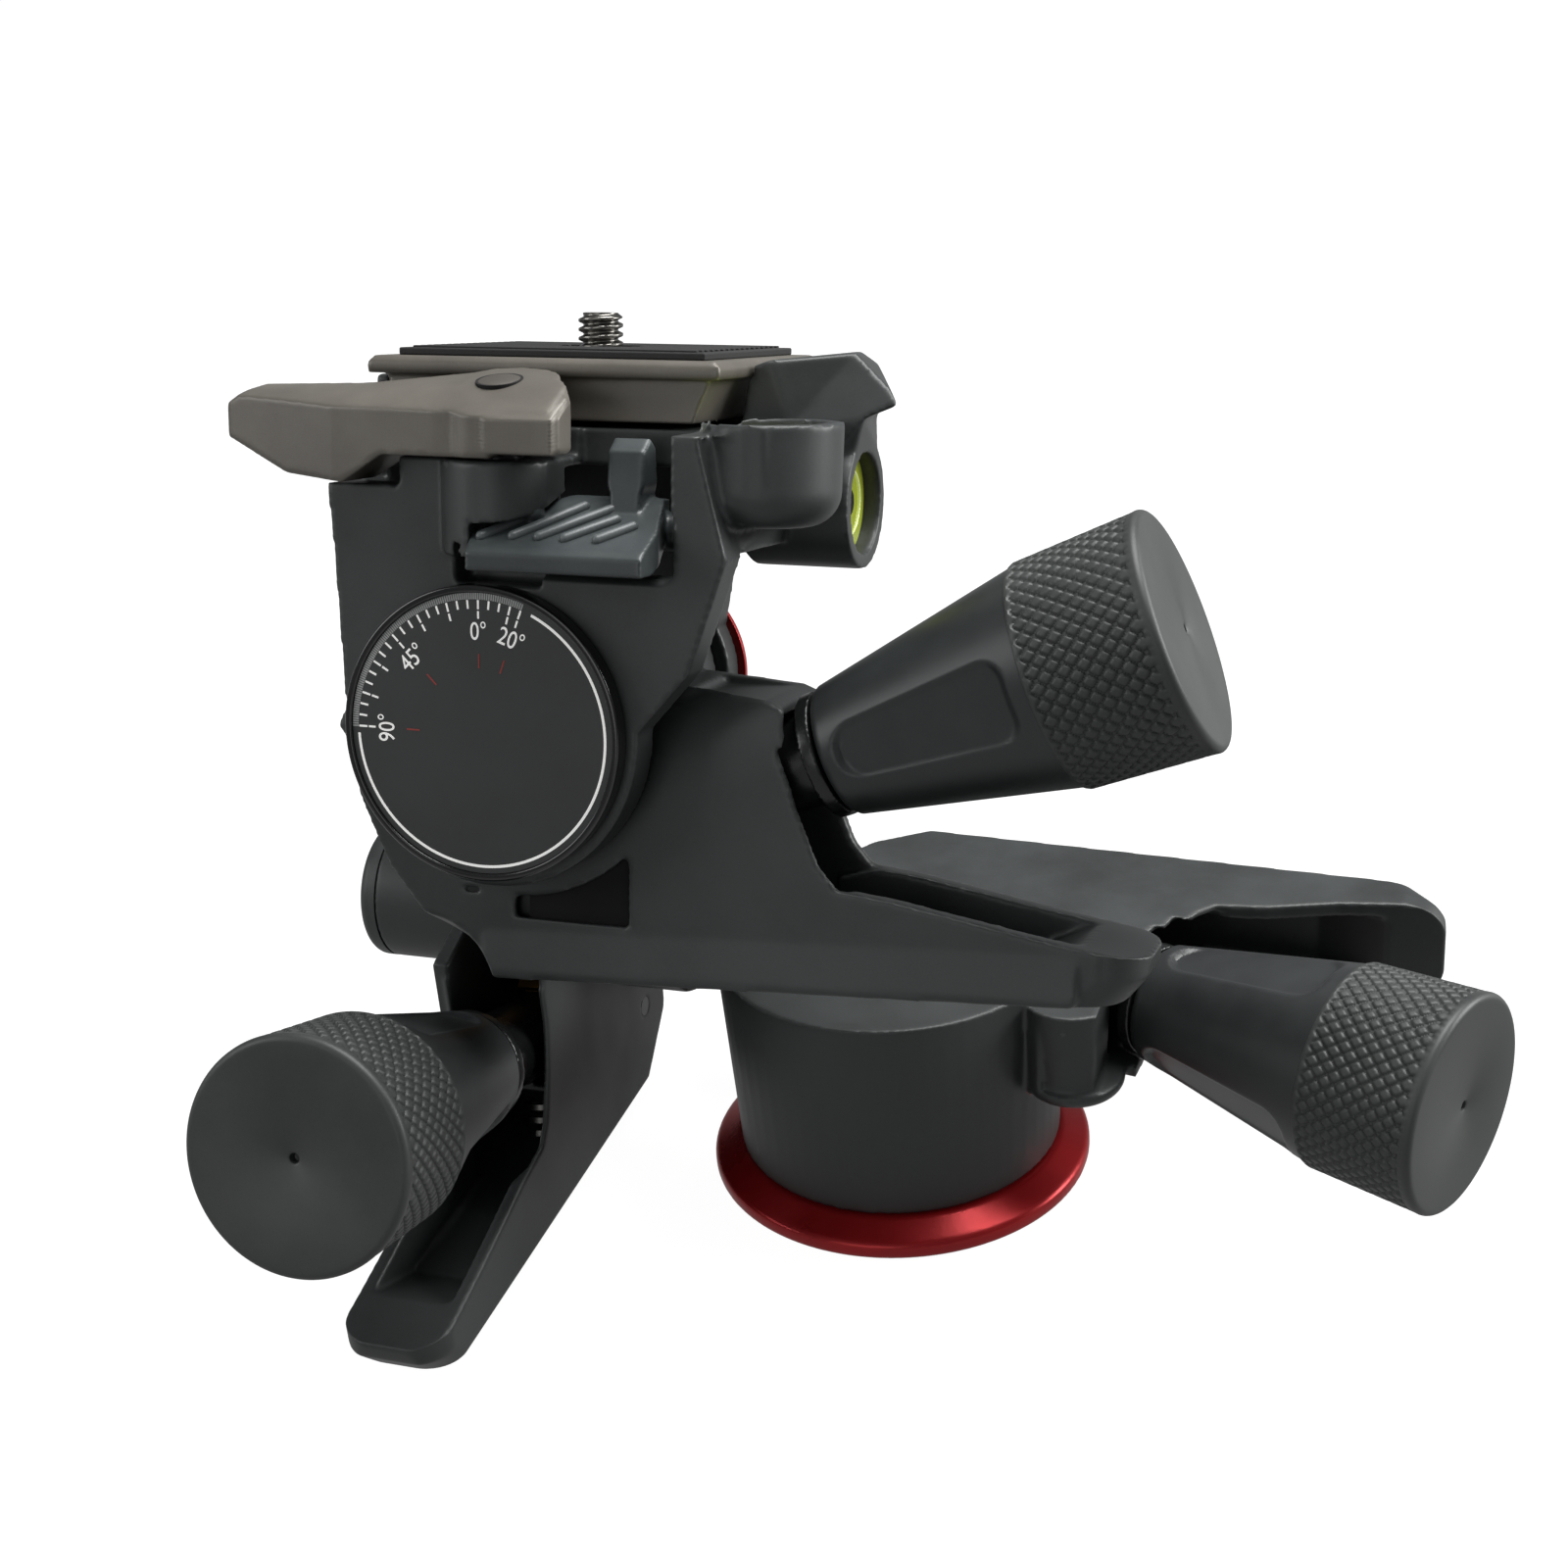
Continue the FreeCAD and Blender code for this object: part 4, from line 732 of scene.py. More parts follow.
def dress_middle(vertices):
    """Rounds the wing's tip, and turns the front wall over the worm into a barrel."""
    round_tip(vertices, "front", "middle_housing")
    upright = UPRIGHT.inverted()
    worm = knob_frame("front").inverted()
    middle = (upright @ joint_point("front_knob_turn")).y
    radius = middle - span("middle_housing", UPRIGHT)[0].y
    for vertex in vertices:
        across = worm @ vertex.co
        spot = upright @ vertex.co
        if spot.y < middle and across.x > 0 and BARREL_FROM < across.z < BARREL_TO:
            rise = min(across.x / radius, BARREL_STEEPEST)
            share = smoothstep(BARREL_FROM, BARREL_FROM + BARREL_FADE, across.z)
            round_off = (1 - math.sqrt(1 - rise * rise)) * share
            spot.y += (middle - spot.y) * round_off
            vertex.co = UPRIGHT @ spot


def resize_round(spot, centre, goal, size, old_size):
    """Where a point goes when its circle gets a new size and moves from one centre to another."""
    return [aim + (here - base) * size / old_size for here, base, aim in zip(spot, centre, goal)]


def rework_bracket(bm):
    """The two level housings, the front block's edge and the end of the fixed jaw."""
    low, high = span("side_level_vial", UPRIGHT)
    old = (low + high) / 2
    bore = (high.z - low.z) / 2
    rim = bore + SIDE_RIM
    low, high = span("round_level_vial", UPRIGHT)
    well = (low + high) / 2
    well_radius = (high.x - low.x) / 2

    def shape(spot):
        aside = math.hypot(spot.x - well.x, spot.y - well.y)
        if spot.z > low.z - 0.5 and 1.0 < aside < well_radius + NEAR:
            spot.x, spot.y = resize_round((spot.x, spot.y), well, CUP_PLACE, CUP_BORE, aside)
        reach = math.hypot(spot.y - old.y, spot.z - old.z)
        if abs(spot.x - BLOCK_EDGE) < NEAR and spot.y < BLOCK_BACK and spot.z > BLOCK_FOOT:
            spot.x -= BLOCK_NARROW * (spot.z - BLOCK_FOOT) / BLOCK_HEIGHT
            aside = math.hypot(spot.x - CUP_PLACE[0], spot.y - CUP_PLACE[1])
            inside = CUP_RADIUS - 0.5
            if spot.y > BLOCK_FACE and aside > inside:
                spot.x, spot.y = resize_round((spot.x, spot.y), CUP_PLACE, CUP_PLACE, inside, aside)
        if spot.x > -3 and reach < rim + NEAR / 2:
            size = SIDE_BORE / bore if reach < bore + NEAR / 2 else SIDE_RADIUS / rim
            spot.y, spot.z = resize_round((spot.y, spot.z), (old.y, old.z), SIDE_PLACE, size, 1)
        elif spot.x > 2 and spot.z > JAW_TIP[1]:
            spot.x = min(spot.x, JAW_TIP[0] - (spot.z - JAW_TIP[1]) * JAW_END_SLOPE)
        elif spot.x > 2 and spot.z > JAW_UNDER:
            spot.z = max(spot.z, JAW_TIP[1] - (JAW_TIP[0] - spot.x) * JAW_UNDER_SLOPE)
        if spot.z > JAW_FOOT and spot.x > -2 and spot.y > JAW_BACK:
            spot.x -= JAW_THIN
        elif spot.z > JAW_FOOT and spot.x > -2:
            spot.y += JAW_LEAN * (spot.z - JAW_FOOT)
        return True

    warp(bm.verts, UPRIGHT, shape)
    bottom = CUP_TOP - CUP_DEPTH
    profile = [(0, CUP_LOW), (CUP_RADIUS - CUP_ROUND, CUP_LOW)]
    profile += arc((CUP_RADIUS - CUP_ROUND, CUP_LOW + CUP_ROUND), CUP_ROUND, -90, 0)[1:]
    profile += [(CUP_RADIUS, CUP_TOP), (CUP_BORE, CUP_TOP), (CUP_BORE, bottom), (0, bottom)]
    join(bm, turned(profile, ROUND_STEPS), cup_frame())
    bottom = SIDE_FACE - SIDE_DEPTH
    profile = [(0, SIDE_FROM), (SIDE_RADIUS - SIDE_CHAMFER, SIDE_FROM),
               (SIDE_RADIUS, SIDE_FROM + SIDE_CHAMFER), (SIDE_RADIUS, SIDE_FACE),
               (SIDE_BORE, SIDE_FACE), (SIDE_BORE, bottom), (0, bottom)]
    join(bm, turned(profile, ROUND_STEPS), side_frame())


def cup_frame():
    """Local frame of the round level: z up along its cup, heights as in the upright frame."""
    return UPRIGHT @ Matrix.Translation((CUP_PLACE[0], CUP_PLACE[1], 0))


def side_frame():
    """Local frame of the side level: z out of its face, measured from the upright frame's middle."""
    middle = Matrix.Translation((0, SIDE_PLACE[0], SIDE_PLACE[1]))
    return UPRIGHT @ middle @ Matrix.Rotation(math.radians(90), 4, "Y")


def join(bm, other, matrix):
    """Puts one bmesh in place, adds it to another and frees it."""
    bmesh.ops.transform(other, matrix=matrix, verts=other.verts)
    mesh = bpy.data.meshes.new("joined")
    other.to_mesh(mesh)
    other.free()
    bm.from_mesh(mesh)
    bpy.data.meshes.remove(mesh)


def tab_cutter():
    """What is taken from the bracket in front of the tab's slab."""
    bm = bmesh.new()
    top = TAB_TOP + ROOM_GAP
    front_top = top + TAB_SLOPE * (ROOM_SLOPE_END - TAB_START)
    outline = [(ROOM_FRONT, ROOM_LOW), (ROOM_FRONT, front_top), (ROOM_SLOPE_END, front_top),
               (TAB_START, top), (TAB_START, ROOM_LOW)]
    hull(bm, [(x, y, z) for y, z in outline for x in ROOM_SIDES], UPRIGHT)
    bmesh.ops.recalc_face_normals(bm, faces=bm.faces)
    mesh = bpy.data.meshes.new("tab_cutter")
    bm.to_mesh(mesh)
    bm.free()
    cutter = bpy.data.objects.new("tab_cutter", mesh)
    bpy.context.scene.collection.objects.link(cutter)
    return cutter


def dress_tab(vertices):
    """Draws the tab's slab out to its long lip, and widens its ridge."""
    low, high = span("safety_tab", UPRIGHT)

    def draw_out(spot):
        if spot.y < TAB_START:
            share = (TAB_START - spot.y) / (TAB_START - low.y)
            spot.y = TAB_START + (spot.y - TAB_START) * TAB_STRETCH
            spot.x += TAB_SHORT * share * (high.x - spot.x) / (high.x - low.x)
        share = smoothstep(TAB_TOP + TAB_RIDGE_FOOT, TAB_TOP + TAB_RIDGE_FULL, spot.z)
        spot.x += TAB_GROW * share * (spot.x - TAB_RIDGE)
        return True

    warp(vertices, UPRIGHT, draw_out)


def rework_lever(bm):
    """The cam nose on the lever's hub, and the pocket filled up for the plug."""
    centre = UPRIGHT.inverted() @ joint_point("release_lever_turn")
    top = span("release_lever", UPRIGHT)[1].z
    nose = [(centre.x + x, centre.y + y) for x, y in NOSE]
    slab(bm, nose, NOSE_LOW, top - NOSE_DROP, UPRIGHT)
    fill = turned([(0, top - POCKET_DEPTH), (POCKET_RADIUS, top - POCKET_DEPTH), (POCKET_RADIUS, top),
                   (0, top)], count=64)
    join(bm, fill, UPRIGHT @ Matrix.Translation((centre.x, centre.y, 0)))


def lever_fall(away):
    """How far the lever's top has fallen at a distance from its back edge."""
    return LEVER_FALL * away + LEVER_CURL * max(0.0, away - LEVER_ROLL) ** 2


def dress_lever(vertices):
    """Lets the lever's top fall and roll over to its front."""
    high = span("release_lever", UPRIGHT)[1]

    def drop(spot):
        moved = spot.z > LEVER_FLAT
        if moved:
            fall = lever_fall(max(0.0, high.y - spot.y))
            spot.z -= fall * (spot.z - LEVER_FLAT) / (high.z - LEVER_FLAT)
        return moved

    warp(vertices, UPRIGHT, drop)


def dress_plate(vertices):
    """Brings the plate's front flank out under its lip."""
    low, high = span("camera_plate", UPRIGHT)
    lip = high.z - PLATE_LIP

    def spread(spot):
        moved = spot.z < lip and spot.y < low.y + PLATE_FLANK
        if moved:
            spot.y -= PLATE_SPREAD * (lip - spot.z) / (lip - low.z)
        return moved

    warp(vertices, UPRIGHT, spread)


def make_castings():
    """The painted castings, the lever and plate, the tab, the carriers and the base disc."""
    cast_copy("lower_housing", "casting", "lower_body", voxel=0.40, rounds=6, most=MOST,
              rework=rework_lower, dress=dress_lower)
    cast_copy("middle_housing", "casting", "middle_body", voxel=0.40, rounds=6, most=MOST,
              rework=rework_middle, dress=dress_middle)
    cast_copy("top_bracket", "casting", "top_body", voxel=0.40, rounds=5, most=MOST,
              rework=rework_bracket, cutter=tab_cutter())
    cast_copy("release_lever", "plate", "lever", voxel=0.30, rounds=12, most=160000,
              rework=rework_lever, dress=dress_lever)
    cast_copy("camera_plate", "plate", "top_body", voxel=0.35, rounds=4, most=80000,
              dress=dress_plate)
    cast_copy("safety_tab", "tab", "tab", voxel=0.25, rounds=7, most=60000, dress=dress_tab)
    cast_copy("base_ring", "red_trim", "base", voxel=0.35, rounds=4, most=80000)
    for drive in DRIVES:
        cast_copy(drive + "_swing_carrier", "carrier", drive + "_swing",
                  voxel=0.28, rounds=4, most=60000)
    # black sheet of painted shade that closes the window's recess
    shade_sheet = bmesh.new()
    hull(shade_sheet, [(x, y, z) for x, z in WINDOW for y in WINDOW_DEPTHS], UPRIGHT)
    add_piece("window_shade_sheet", shade_sheet, WORLD_UNIT, "black", "middle_body")


# ---- knobs ------------------------------------------------------------------------------------
def knob_frame(drive):
    """Local frame of a knob: z along its shaft, x from the worm to the wheel's axis."""
    along = joint_axis(drive + "_knob_turn")
    side = -joint_axis(drive + "_release")
    return place(joint_point(drive + "_knob_turn"), side.cross(along), side, along)


def press_panels(bm, turn, start, end, radius_at):
    """Sinks the long flat panels into the cone."""
    middle = (start + end) / 2
    half = (end - start) / 2
    for vertex in bm.verts:
        along = vertex.co.z
        radius = math.hypot(vertex.co.x, vertex.co.y)
        if radius < radius_at(along) * SKIN:
            continue
        for k in range(PANEL_COUNT):
            angle = math.radians(turn + 360.0 * k / PANEL_COUNT)
            outward = Vector((math.cos(angle), math.sin(angle), 0))
            across = abs(vertex.co.x * outward.y - vertex.co.y * outward.x)
            reach = vertex.co.x * outward.x + vertex.co.y * outward.y
            if reach < 0:
                continue
            past_side = across - (radius * PANEL_SPREAD - PANEL_CORNER)
            past_end = abs(along - middle) - (half - PANEL_CORNER)
            outside = math.hypot(max(past_side, 0), max(past_end, 0)) + min(max(past_side, past_end), 0)
            share = smoothstep(0, PANEL_EDGE, PANEL_CORNER - outside)
            sink = max(0.0, reach - radius * PANEL_FLOOR) * share
            vertex.co -= outward * sink


def press_knurl(bm, start, end, radius_at):
    """Cuts the crossed grooves of the grip, which leave flat-topped diamonds."""
    for vertex in bm.verts:
        along = vertex.co.z
        radius = math.hypot(vertex.co.x, vertex.co.y)
        if not start < along < end or radius < radius_at(along) * SKIN:
            continue
        around = math.atan2(vertex.co.y, vertex.co.x) / math.tau * KNURL_AROUND
        row = (along - start) / KNURL_ALONG
        across = [abs((around + sign * row) % 1.0 - 0.5) * 2 for sign in (1, -1)]
        groove = (across[0] ** KNURL_POWER + across[1] ** KNURL_POWER) ** (1 / KNURL_POWER)
        fade = smoothstep(0, KNURL_BORDER, min(along - start, end - along))
        depth = KNURL_DEPTH * smoothstep(KNURL_LANDS[0], KNURL_LANDS[1], groove) * fade
        vertex.co.x *= 1 - depth / radius
        vertex.co.y *= 1 - depth / radius


def make_knob(drive):
    """Conical knob with sunk panels, and its knurled grip with the hole in its end face."""
    local = knob_frame(drive)
    start = span(drive + "_knob", local)[0].z
    grip_low, grip_high = span(drive + "_knob_grip", local)
    base = grip_low.z
    end = grip_high.z
    outer = grip_high.x
    inner = (span_radius(drive + "_knob_grip", local, base) + span_radius(drive + "_knob", local, base)) / 2
    neck = span_radius(drive + "_knob", local, start) + NECK_GROW

    def cone_radius(along):
        return neck + (inner - neck) * (along - start) / (base - start)

    def grip_radius(along):
        return inner + GRIP_STEP + (outer - inner - GRIP_STEP) * (along - base) / (end - base)

    rows = steps(start + NECK_EDGE, base, CONE_ROW)
    profile = [(0, start), (neck - NECK_EDGE, start), (neck - NECK_BEND[0], start + NECK_BEND[1])]
    profile += [(cone_radius(along), along) for along in rows] + [(0, base)]
    cone = turned(profile, CONE_STEPS)
    press_panels(cone, PANEL_TURN[drive], start + PANEL_START, base - PANEL_MARGIN, cone_radius)
    add_piece(drive + "_knob_cone", cone, local, "knob", drive + "_control", (drive + "_knob",))
    first = base + KNURL_INSET[0]
    last = end - GRIP_EDGE - KNURL_INSET[1]
    profile = [(0, base), (inner, base), (inner + GRIP_FOOT[0], base + GRIP_FOOT[1])]
    profile += [(grip_radius(along), along) for along in steps(first, last, KNURL_ALONG / KNURL_STEPS)]
    profile += arc((outer - GRIP_EDGE, end - GRIP_EDGE), GRIP_EDGE, 0, 90)
    profile += [(outer - GRIP_EDGE - END_STEP, end - END_SINK), (CENTRE_HOLE + HOLE_RIM, end - END_SINK),
                (CENTRE_HOLE, end - HOLE_DEPTHS[0]), (CENTRE_HOLE * HOLE_TAPER, end - HOLE_DEPTHS[1]),
                (0, end - HOLE_DEPTHS[2])]
    grip = turned(profile, KNURL_AROUND * KNURL_STEPS)
    press_knurl(grip, first, last, grip_radius)
    add_piece(drive + "_knurled_grip", grip, local, "knob_grip", drive + "_control",
              (drive + "_knob_grip",))


def span_radius(node_name, matrix, along, near=0.05):
    """Largest radius of a CAD node about a local z axis, near one place along it."""
    local = matrix.inverted()
    points = [local @ vertex.co for vertex in frame["nodes"][node_name].data.vertices]
    return max(math.hypot(p.x, p.y) for p in points if abs(p.z - along) < near)


# ---- dial -------------------------------------------------------------------------------------
def dial_frame():
    """Local frame of the dial: x right, y up, z out of its face, origin on its front plane."""
    centre = joint_point("front_tilt")
    flat = place(centre, RIGHT, UP, FRONT)
    return flat @ Matrix.Translation((0, 0, span("dial", flat)[1].z))


def radial(angle, radius, height):
    """Matrix of a spot on the dial whose y axis points outwards."""
    turn = Matrix.Rotation(-math.radians(angle), 4, "Z")
    return turn @ Matrix.Translation((0, radius, height))


def stroke(bm, angle, inner, outer, width):
    """Adds one printed radial stroke."""
    bar(bm, (width, outer - inner, PRINT_THICK), radial(angle, (inner + outer) / 2, PRINT_THICK / 2))


def number(text, angle, name):
    """A printed number whose top points outwards."""
    curve = bpy.data.curves.new(name, "FONT")
    curve.body = text
    curve.size = NUMBER_HEIGHT * LETTER_SIZE
    curve.align_x = "CENTER"
    curve.align_y = "CENTER"
    curve.extrude = PRINT_THICK / 2
    curve.resolution_u = 6
    letters = bpy.data.objects.new(name + "_curve", curve)
    bpy.context.scene.collection.objects.link(letters)
    mesh = evaluated_mesh(letters)
    bpy.data.objects.remove(letters)
    bm = bmesh.new()
    bm.from_mesh(mesh)
    bmesh.ops.scale(bm, vec=(LETTER_WIDTH, 1, 1), verts=bm.verts)
    bmesh.ops.transform(bm, matrix=radial(angle, NUMBER_RADIUS, PRINT_THICK / 2), verts=bm.verts)
    return bm


def make_dial():
    """Face, gloss rim, graduations, numbers and the white line round the rest."""
    local = dial_frame()
    outer = span("dial", local)[1].x
    back = span("dial", local)[0].z
    inner = outer - DIAL_RIM
    edge = inner - FACE_GAP
    face = turned([(0, -DIAL_RECESS), (edge, -DIAL_RECESS), (edge, back), (0, back)], DIAL_STEPS)
    add_piece("dial_face", face, local, "dial", "middle_body", ("dial",))
    near, far = RIM_ROUND
    section = [(inner, back)] + arc((inner + near, -near), near, 180, 90)
    section += arc((outer - far, -far), far, 90, 0) + [(outer, back)]
    rim = turned(ring_profile(section), DIAL_STEPS)
    add_piece("dial_rim", rim, local, "gloss", "middle_body")
    paper = local @ Matrix.Translation((0, 0, -DIAL_RECESS))
    white = bmesh.new()
    for angle in range(SCALE_FROM, SCALE_TO + 1, TICK_EVERY):
        if angle % TICK_LONG_EVERY and angle != SCALE_TO:
            stroke(white, angle, TICK_SHORT, TICK_OUTER, TICK_WIDTH)
        else:
            stroke(white, angle, TICK_LONG_FROM + TICK_GAP, TICK_OUTER, TICK_WIDTH)
            stroke(white, angle, TICK_LONG, TICK_LONG_FROM, TICK_WIDTH)
    add_piece("dial_ticks", white, paper, "white_print", "middle_body")
    hatch = bmesh.new()
    hatch_width = HATCH_OUTER * math.radians(HATCH_STEP) * HATCH_FILL
    for angle in steps(SCALE_FROM, SCALE_TO, HATCH_STEP):
        stroke(hatch, angle, HATCH_INNER, HATCH_OUTER, hatch_width)
    add_piece("dial_hatching", hatch, paper, "grey_print", "middle_body")
    red = bmesh.new()
    for angle in MARKED:
        stroke(red, angle, MARK_INNER, MARK_OUTER, MARK_WIDTH)
    add_piece("dial_marks", red, paper, "red_print", "middle_body")
    for angle in MARKED:
        text = "%d°" % abs(angle)
        name = "dial_number_%d" % abs(angle)
        add_piece(name, number(text, angle, name), paper, "white_print", "middle_body")
    add_piece("dial_line", dial_line(), paper, "white_print", "middle_body")


def dial_line():
    """The white line that runs round the part of the dial without a scale."""
    bm = bmesh.new()
    half = LINE_WIDTH / 2
    corners = [(-half, 0), (half, 0), (half, PRINT_THICK), (-half, PRINT_THICK)]
    verts = [bm.verts.new((0, LINE_RADIUS + r, h)) for r, h in corners]
    section = bm.faces.new(verts)
    turn = Matrix.Rotation(-math.radians(LINE_FROM), 4, "Z")
    bmesh.ops.transform(bm, matrix=turn, verts=verts)
    bmesh.ops.spin(bm, geom=[section] + section.edges[:] + verts, cent=(0, 0, 0), axis=(0, 0, -1),
                   angle=math.radians(LINE_TO - LINE_FROM), steps=150)
    bmesh.ops.recalc_face_normals(bm, faces=bm.faces)
    return bm


# ---- top, levels and caps ---------------------------------------------------------------------
def make_pad():
    """Rubber pad with moulded ribs along the plate."""
    low, high = span("plate_pad", UPRIGHT)
    middle = (low + high) / 2
    size = high - low
    base = bmesh.new()
    bar(base, (size.x, size.y, size.z - PAD_RIB),
        Matrix.Translation((middle.x, middle.y, middle.z - PAD_RIB / 2)))
    add_piece("pad_base", base, UPRIGHT, "pad", "top_body", ("plate_pad",), bevel=0.25)
    ribs = bmesh.new()
    left_end = low.x + PAD_BORDER
    right_end = high.x - PAD_BORDER
    for y in steps(low.y + PAD_BORDER, high.y - PAD_BORDER, PAD_PITCH):
        gap = math.sqrt(max(0.0, PAD_CLEAR ** 2 - (y - middle.y) ** 2))
        spans = [(left_end, right_end)]
        if gap > 0:
            spans = [(left_end, middle.x - gap), (middle.x + gap, right_end)]
        for left, right in spans:
            bar(ribs, (right - left, PAD_PITCH / 2, 2 * PAD_RIB),
                Matrix.Translation(((left + right) / 2, y, high.z - PAD_RIB)))
    add_piece("pad_ribs", ribs, UPRIGHT, "pad", "top_body", bevel=0.12, segments=2)


def make_screw():
    """Camera screw with its thread cut, and its head under the plate."""
    local = place(joint_point("camera_screw_turn"), RIGHT, -FRONT, UP)
    low, high = span("camera_screw", local)
    pad_top = span("plate_pad", local)[1].z
    major = span_radius("camera_screw", local, pad_top)
    minor = major - THREAD_DEPTH
    head = high.x
    head_top = low.z + HEAD_HEIGHT
    thread_start = pad_top - THREAD_START
    profile = [(0, low.z), (head - HEAD_CHAMFER, low.z), (head, low.z + HEAD_CHAMFER),
               (head, head_top - HEAD_EDGE), (head - HEAD_EDGE, head_top),
               (minor, head_top), (minor, thread_start - 0.2)]
    profile += [(major, along) for along in steps(thread_start, high.z - 0.05, THREAD_PITCH / THREAD_ROWS)]
    profile += [(minor - 0.3, high.z), (0, high.z)]
    screw = turned(profile, count=72)
    for vertex in screw.verts:
        along = vertex.co.z
        radius = math.hypot(vertex.co.x, vertex.co.y)
        if radius < major - 0.01 or along < thread_start - 0.1:
            continue
        turns = (along / THREAD_PITCH - math.atan2(vertex.co.y, vertex.co.x) / math.tau) % 1.0
        crest = smoothstep(0.1, 0.8, 2 * min(turns, 1 - turns))
        crest *= smoothstep(0.0, THREAD_LEAD, high.z + 0.1 - along)
        share = (minor + THREAD_DEPTH * crest) / radius
        vertex.co.x *= share
        vertex.co.y *= share
    add_piece("camera_screw_thread", screw, local, "steel", "screw", ("camera_screw",))


def make_tab_ribs():
    """Raised ribs across the safety tab, and the ball at the end of its lip."""
    ribs = bmesh.new()
    for rib in TAB_RIBS:
        ends = [(x, y, TAB_TOP + TAB_SLOPE * (y - TAB_START) + RIB_RISE) for x, y in rib]
        capsule(ribs, ends[0], ends[1], RIB_RADIUS)
    ball = bmesh.ops.create_uvsphere(ribs, u_segments=32, v_segments=16, radius=TAB_BALL_RADIUS)["verts"]
    bmesh.ops.translate(ribs, vec=TAB_BALL, verts=ball)
    add_piece("tab_ribs", ribs, UPRIGHT, "tab_rib", "tab")


def make_round_level():
    """Round level deep in its cup, with its ring mark and bubble."""
    low = span("round_level_vial", UPRIGHT)[0]
    local = cup_frame()
    top = CUP_TOP - CUP_VIAL_DROP
    radius = CUP_BORE - VIAL_GAP
    lens = [(0, low.z), (radius, low.z), (radius, top - 1.5 * LENS_FALL),
            (radius - LENS_EDGE, top - LENS_FALL)]
    lens += [(radius * share, top - LENS_FALL * share * share) for share in LENS_SHARES]
    add_piece("round_level_glass", turned(lens, ROUND_STEPS), local, "vial", "top_body",
              ("round_level_vial",))
    mark = ring_profile([(away, top + height) for away, height in RING_MARK])
    add_piece("round_level_mark", turned(mark, count=64), local, "gloss", "top_body")
    air = bmesh.new()
    bmesh.ops.create_uvsphere(air, u_segments=32, v_segments=16, radius=BUBBLE_RADIUS)
    bmesh.ops.scale(air, vec=(1, 1, BUBBLE_FLAT), verts=air.verts)
    bmesh.ops.translate(air, vec=(*BUBBLE_PLACE, top - BUBBLE_SINK), verts=air.verts)
    add_piece("round_level_bubble", air, local, "bubble", "top_body")


def make_side_level():
    """Side level: a ring of fluid round a dark middle, with a broken ring mark."""
    side = side_frame()
    face = SIDE_FACE - SIDE_VIAL_DROP
    radius = SIDE_BORE - VIAL_GAP
    bottom = SIDE_FACE - SIDE_DEPTH
    fluid = turned([(0, bottom), (radius, bottom), (radius, face), (0, face)], ROUND_STEPS)
    add_piece("side_level_fluid", fluid, side, "vial", "top_body", ("side_level_vial",))
    top = face + HUB_RISE
    hub = turned([(0, bottom), (HUB_RADIUS, bottom), (HUB_RADIUS, top), (0, top)], ROUND_STEPS)
    add_piece("side_level_hub", hub, side, "gloss", "top_body")
    marks = bmesh.new()
    for start in ARC_STARTS:
        points = arc((0, 0), ARC_RADIUS, start, start + ARC_SWEEP, ARC_STEPS)
        for first, second in zip(points, points[1:]):
            capsule(marks, (*first, face + ARC_RISE), (*second, face + ARC_RISE), ARC_HALF_WIDTH)
    add_piece("side_level_marks", marks, side, "bubble", "top_body")


def make_end_cap():
    """Turned cap over the end of the lateral shaft."""
    tail = place(Vector((0, LATERAL.y, LATERAL.z)), Vector((0, 1, 0)), Vector((0, 0, 1)), Vector((1, 0, 0)))
    low, high = span("lateral_end_cap", tail)
    radius = high.x
    profile = [(0, high.z), (radius, high.z), (radius, low.z + END_CAP_EDGE)]
    profile += arc((radius - END_CAP_EDGE, low.z + END_CAP_EDGE), END_CAP_EDGE, 0, -90)[1:] + [(0, low.z)]
    add_piece("lateral_cap", turned(profile), tail, "casting", "lower_body",
              ("lateral_end_cap",))


def make_rear_cap():
    """Red trim ring and the cap inside it, at the back of the front axis."""
    rear = place(joint_point("front_tilt"), RIGHT, UP, FRONT)
    low, high = span("rear_trim_ring", rear)
    cap_low, cap_high = span("rear_cap", rear)
    outer = high.x
    inner = cap_high.x
    trim = ring_profile([(inner, high.z), (outer, high.z), (outer, low.z + TRIM_EDGE),
                         (outer - TRIM_EDGE, low.z), (inner + TRIM_SEAM[0], low.z),
                         (inner, low.z + TRIM_SEAM[1])])
    add_piece("rear_trim", turned(trim, count=160), rear, "red_trim", "top_body",
              ("rear_trim_ring",), bevel=0.15)
    shape = [(0, high.z), (inner, high.z), (inner, cap_low.z + REAR_CAP_EDGE),
             (inner - REAR_CAP_EDGE, cap_low.z), (0, cap_low.z)]
    add_piece("rear_shaft_cap", turned(shape, count=128), rear, "cap", "top_body",
              ("rear_cap",), bevel=0.2)


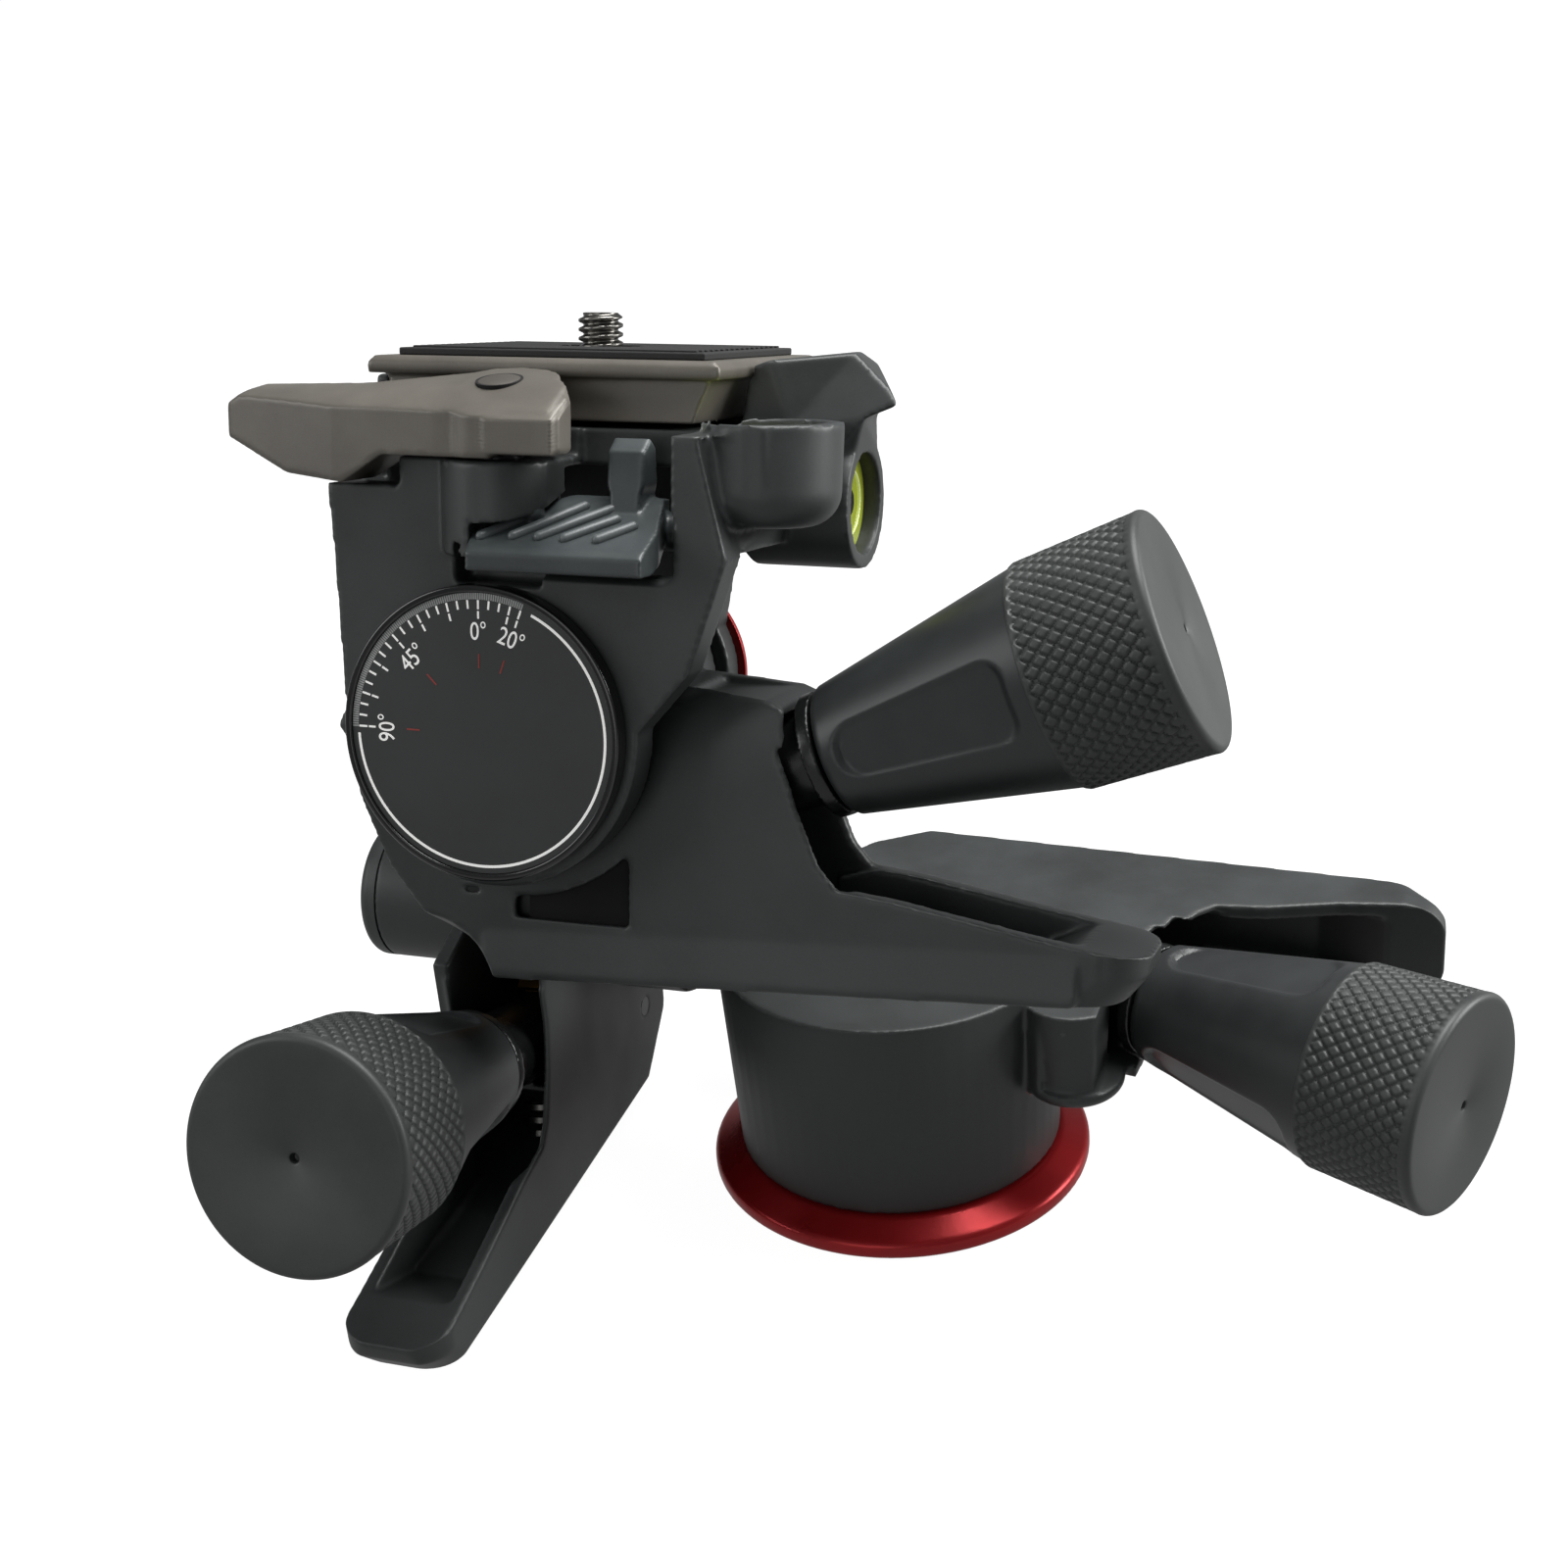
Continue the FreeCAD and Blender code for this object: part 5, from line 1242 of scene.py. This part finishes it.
def make_lever_plug():
    """Plug in the lever's falling top with a dark seam round it, and the pivot under it."""
    lever = place(joint_point("release_lever_turn"), RIGHT, -FRONT, UP)
    high = span("release_lever", lever)[1]
    slope = math.atan(LEVER_FALL + LEVER_CURL * max(0.0, high.y - LEVER_ROLL))
    top = Matrix.Translation((0, 0, high.z - lever_fall(high.y)))
    tilted = lever @ top @ Matrix.Rotation(slope, 4, "X")
    disc = [(0, -PLUG_DEPTH), (PLUG_RADIUS, -PLUG_DEPTH), (PLUG_RADIUS, 0.1),
            (PLUG_RADIUS - 0.3, PLUG_RISE), (0, PLUG_RISE)]
    add_piece("lever_disc", turned(disc, ROUND_STEPS), tilted, "plug", "lever", ("lever_cap",))
    outer = PLUG_RADIUS + SEAM_WIDTH
    seam = ring_profile([(PLUG_RADIUS, -PLUG_DEPTH), (outer, -PLUG_DEPTH), (outer, SEAM_RISE),
                         (PLUG_RADIUS, SEAM_RISE)])
    add_piece("lever_disc_seam", turned(seam, ROUND_STEPS), tilted, "black", "lever")
    low, high = span("lever_pivot_pin", lever)
    pin_top = high.z - PIVOT_DROP
    pin = [(0, low.z), (high.x, low.z), (high.x, pin_top), (0, pin_top)]
    add_piece("lever_pivot", turned(pin, count=64), lever, "carrier", "top_body",
              ("lever_pivot_pin",), bevel=0.2)


def finish_frame():
    """Gives every CAD node that still shows the finish of its slot."""
    slots = {row["node"]: row["material_slot"] for row in frame["record"]["subparts"]}
    for name, shown in frame["nodes"].items():
        shown.data.materials.clear()
        shown.data.materials.append(FINISH["carrier" if name.endswith("pivot_pin") else slots[name]])


# ---- stage ------------------------------------------------------------------------------------
def make_camera():
    """The camera, looking down at the head from its right."""
    data = bpy.data.cameras.new("camera")
    data.sensor_width = SENSOR
    data.lens = FOCAL_PIXELS * SENSOR / IMAGE_PIXELS
    data.clip_start = 0.01
    camera = bpy.data.objects.new("camera", data)
    bpy.context.scene.collection.objects.link(camera)
    azimuth = math.radians(CAMERA_AZIMUTH)
    elevation = math.radians(CAMERA_ELEVATION)
    back = Vector((math.sin(azimuth) * math.cos(elevation), -math.cos(azimuth) * math.cos(elevation),
                   math.sin(elevation)))
    level = Vector((math.cos(azimuth), math.sin(azimuth), 0))
    over = back.cross(level)
    turn = Matrix((level, over, back)).transposed() @ Matrix.Rotation(math.radians(CAMERA_ROLL), 3, "Z")
    camera.matrix_world = Matrix.Translation(Vector(CAMERA_PLACE) * MM) @ turn.to_4x4()
    bpy.context.scene.camera = camera


def area_light(name, where, size, power):
    """A round soft lamp that looks at the head."""
    data = bpy.data.lights.new(name, "AREA")
    data.shape = "DISK"
    data.size = size
    data.energy = power
    light = bpy.data.objects.new(name, data)
    bpy.context.scene.collection.objects.link(light)
    turn = (Vector(AIM) - Vector(where)).to_track_quat("-Z", "Y")
    light.matrix_world = Matrix.Translation(where) @ turn.to_matrix().to_4x4()


def make_floor():
    """Pale floor that keeps the object's shadow."""
    floor = bmesh.new()
    bmesh.ops.create_grid(floor, x_segments=1, y_segments=1, size=FLOOR_HALF)
    mesh = bpy.data.meshes.new("floor")
    floor.to_mesh(mesh)
    floor.free()
    ground = bpy.data.objects.new("floor", mesh)
    bpy.context.scene.collection.objects.link(ground)
    material = bpy.data.materials.new("pale_floor")
    material.use_nodes = True
    tree = material.node_tree
    tree.nodes.clear()
    path = node(tree, "ShaderNodeLightPath")
    seen = node(tree, "ShaderNodeMath", {"operation": "MULTIPLY_ADD", 1: FLOOR_IN_GLOSS},
                {0: path.outputs["Is Glossy Ray"], 2: path.outputs["Is Camera Ray"]})
    shown = node(tree, "ShaderNodeMath", {"operation": "ADD", "use_clamp": True},
                 {0: seen.outputs[0], 1: path.outputs["Is Transmission Ray"]})
    white = node(tree, "ShaderNodeEmission", {"Color": (1, 1, 1, 1), "Strength": FLOOR_GLOW})
    shaded = node(tree, "ShaderNodeBsdfDiffuse", {"Color": hex_colour("f2f2f2")})
    pale = node(tree, "ShaderNodeMixShader", {0: FLOOR_FLAT}, {1: shaded.outputs[0], 2: white.outputs[0]})
    dull = node(tree, "ShaderNodeBsdfDiffuse", {"Color": hex_colour("353535")})
    both = node(tree, "ShaderNodeMixShader", {},
                {0: shown.outputs[0], 1: dull.outputs[0], 2: pale.outputs[0]})
    node(tree, "ShaderNodeOutputMaterial", {}, {"Surface": both.outputs[0]})
    mesh.materials.append(material)


def make_surroundings():
    """White behind everything, a dim even light from all round, and soft lamps."""
    world = bpy.data.worlds.new("surroundings")
    bpy.context.scene.world = world
    world.use_nodes = True
    tree = world.node_tree
    tree.nodes.clear()
    path = node(tree, "ShaderNodeLightPath")
    room = node(tree, "ShaderNodeBackground", {"Color": AMBIENT_COLOUR, "Strength": AMBIENT})
    plain = node(tree, "ShaderNodeBackground", {"Color": (1, 1, 1, 1), "Strength": 1.0})
    mixed = node(tree, "ShaderNodeMixShader", {},
                 {0: path.outputs["Is Camera Ray"], 1: room.outputs[0], 2: plain.outputs[0]})
    node(tree, "ShaderNodeOutputWorld", {}, {"Surface": mixed.outputs[0]})
    for name, (where, size, power) in LAMPS.items():
        area_light(name, where, size, power)


make_camera()
make_floor()
make_surroundings()
finish_frame()
make_castings()
for drive_name in DRIVES:
    make_knob(drive_name)
make_dial()
make_pad()
make_screw()
make_tab_ribs()
make_round_level()
make_side_level()
make_end_cap()
make_rear_cap()
make_lever_plug()
bpy.context.scene.view_settings.view_transform = "Standard"
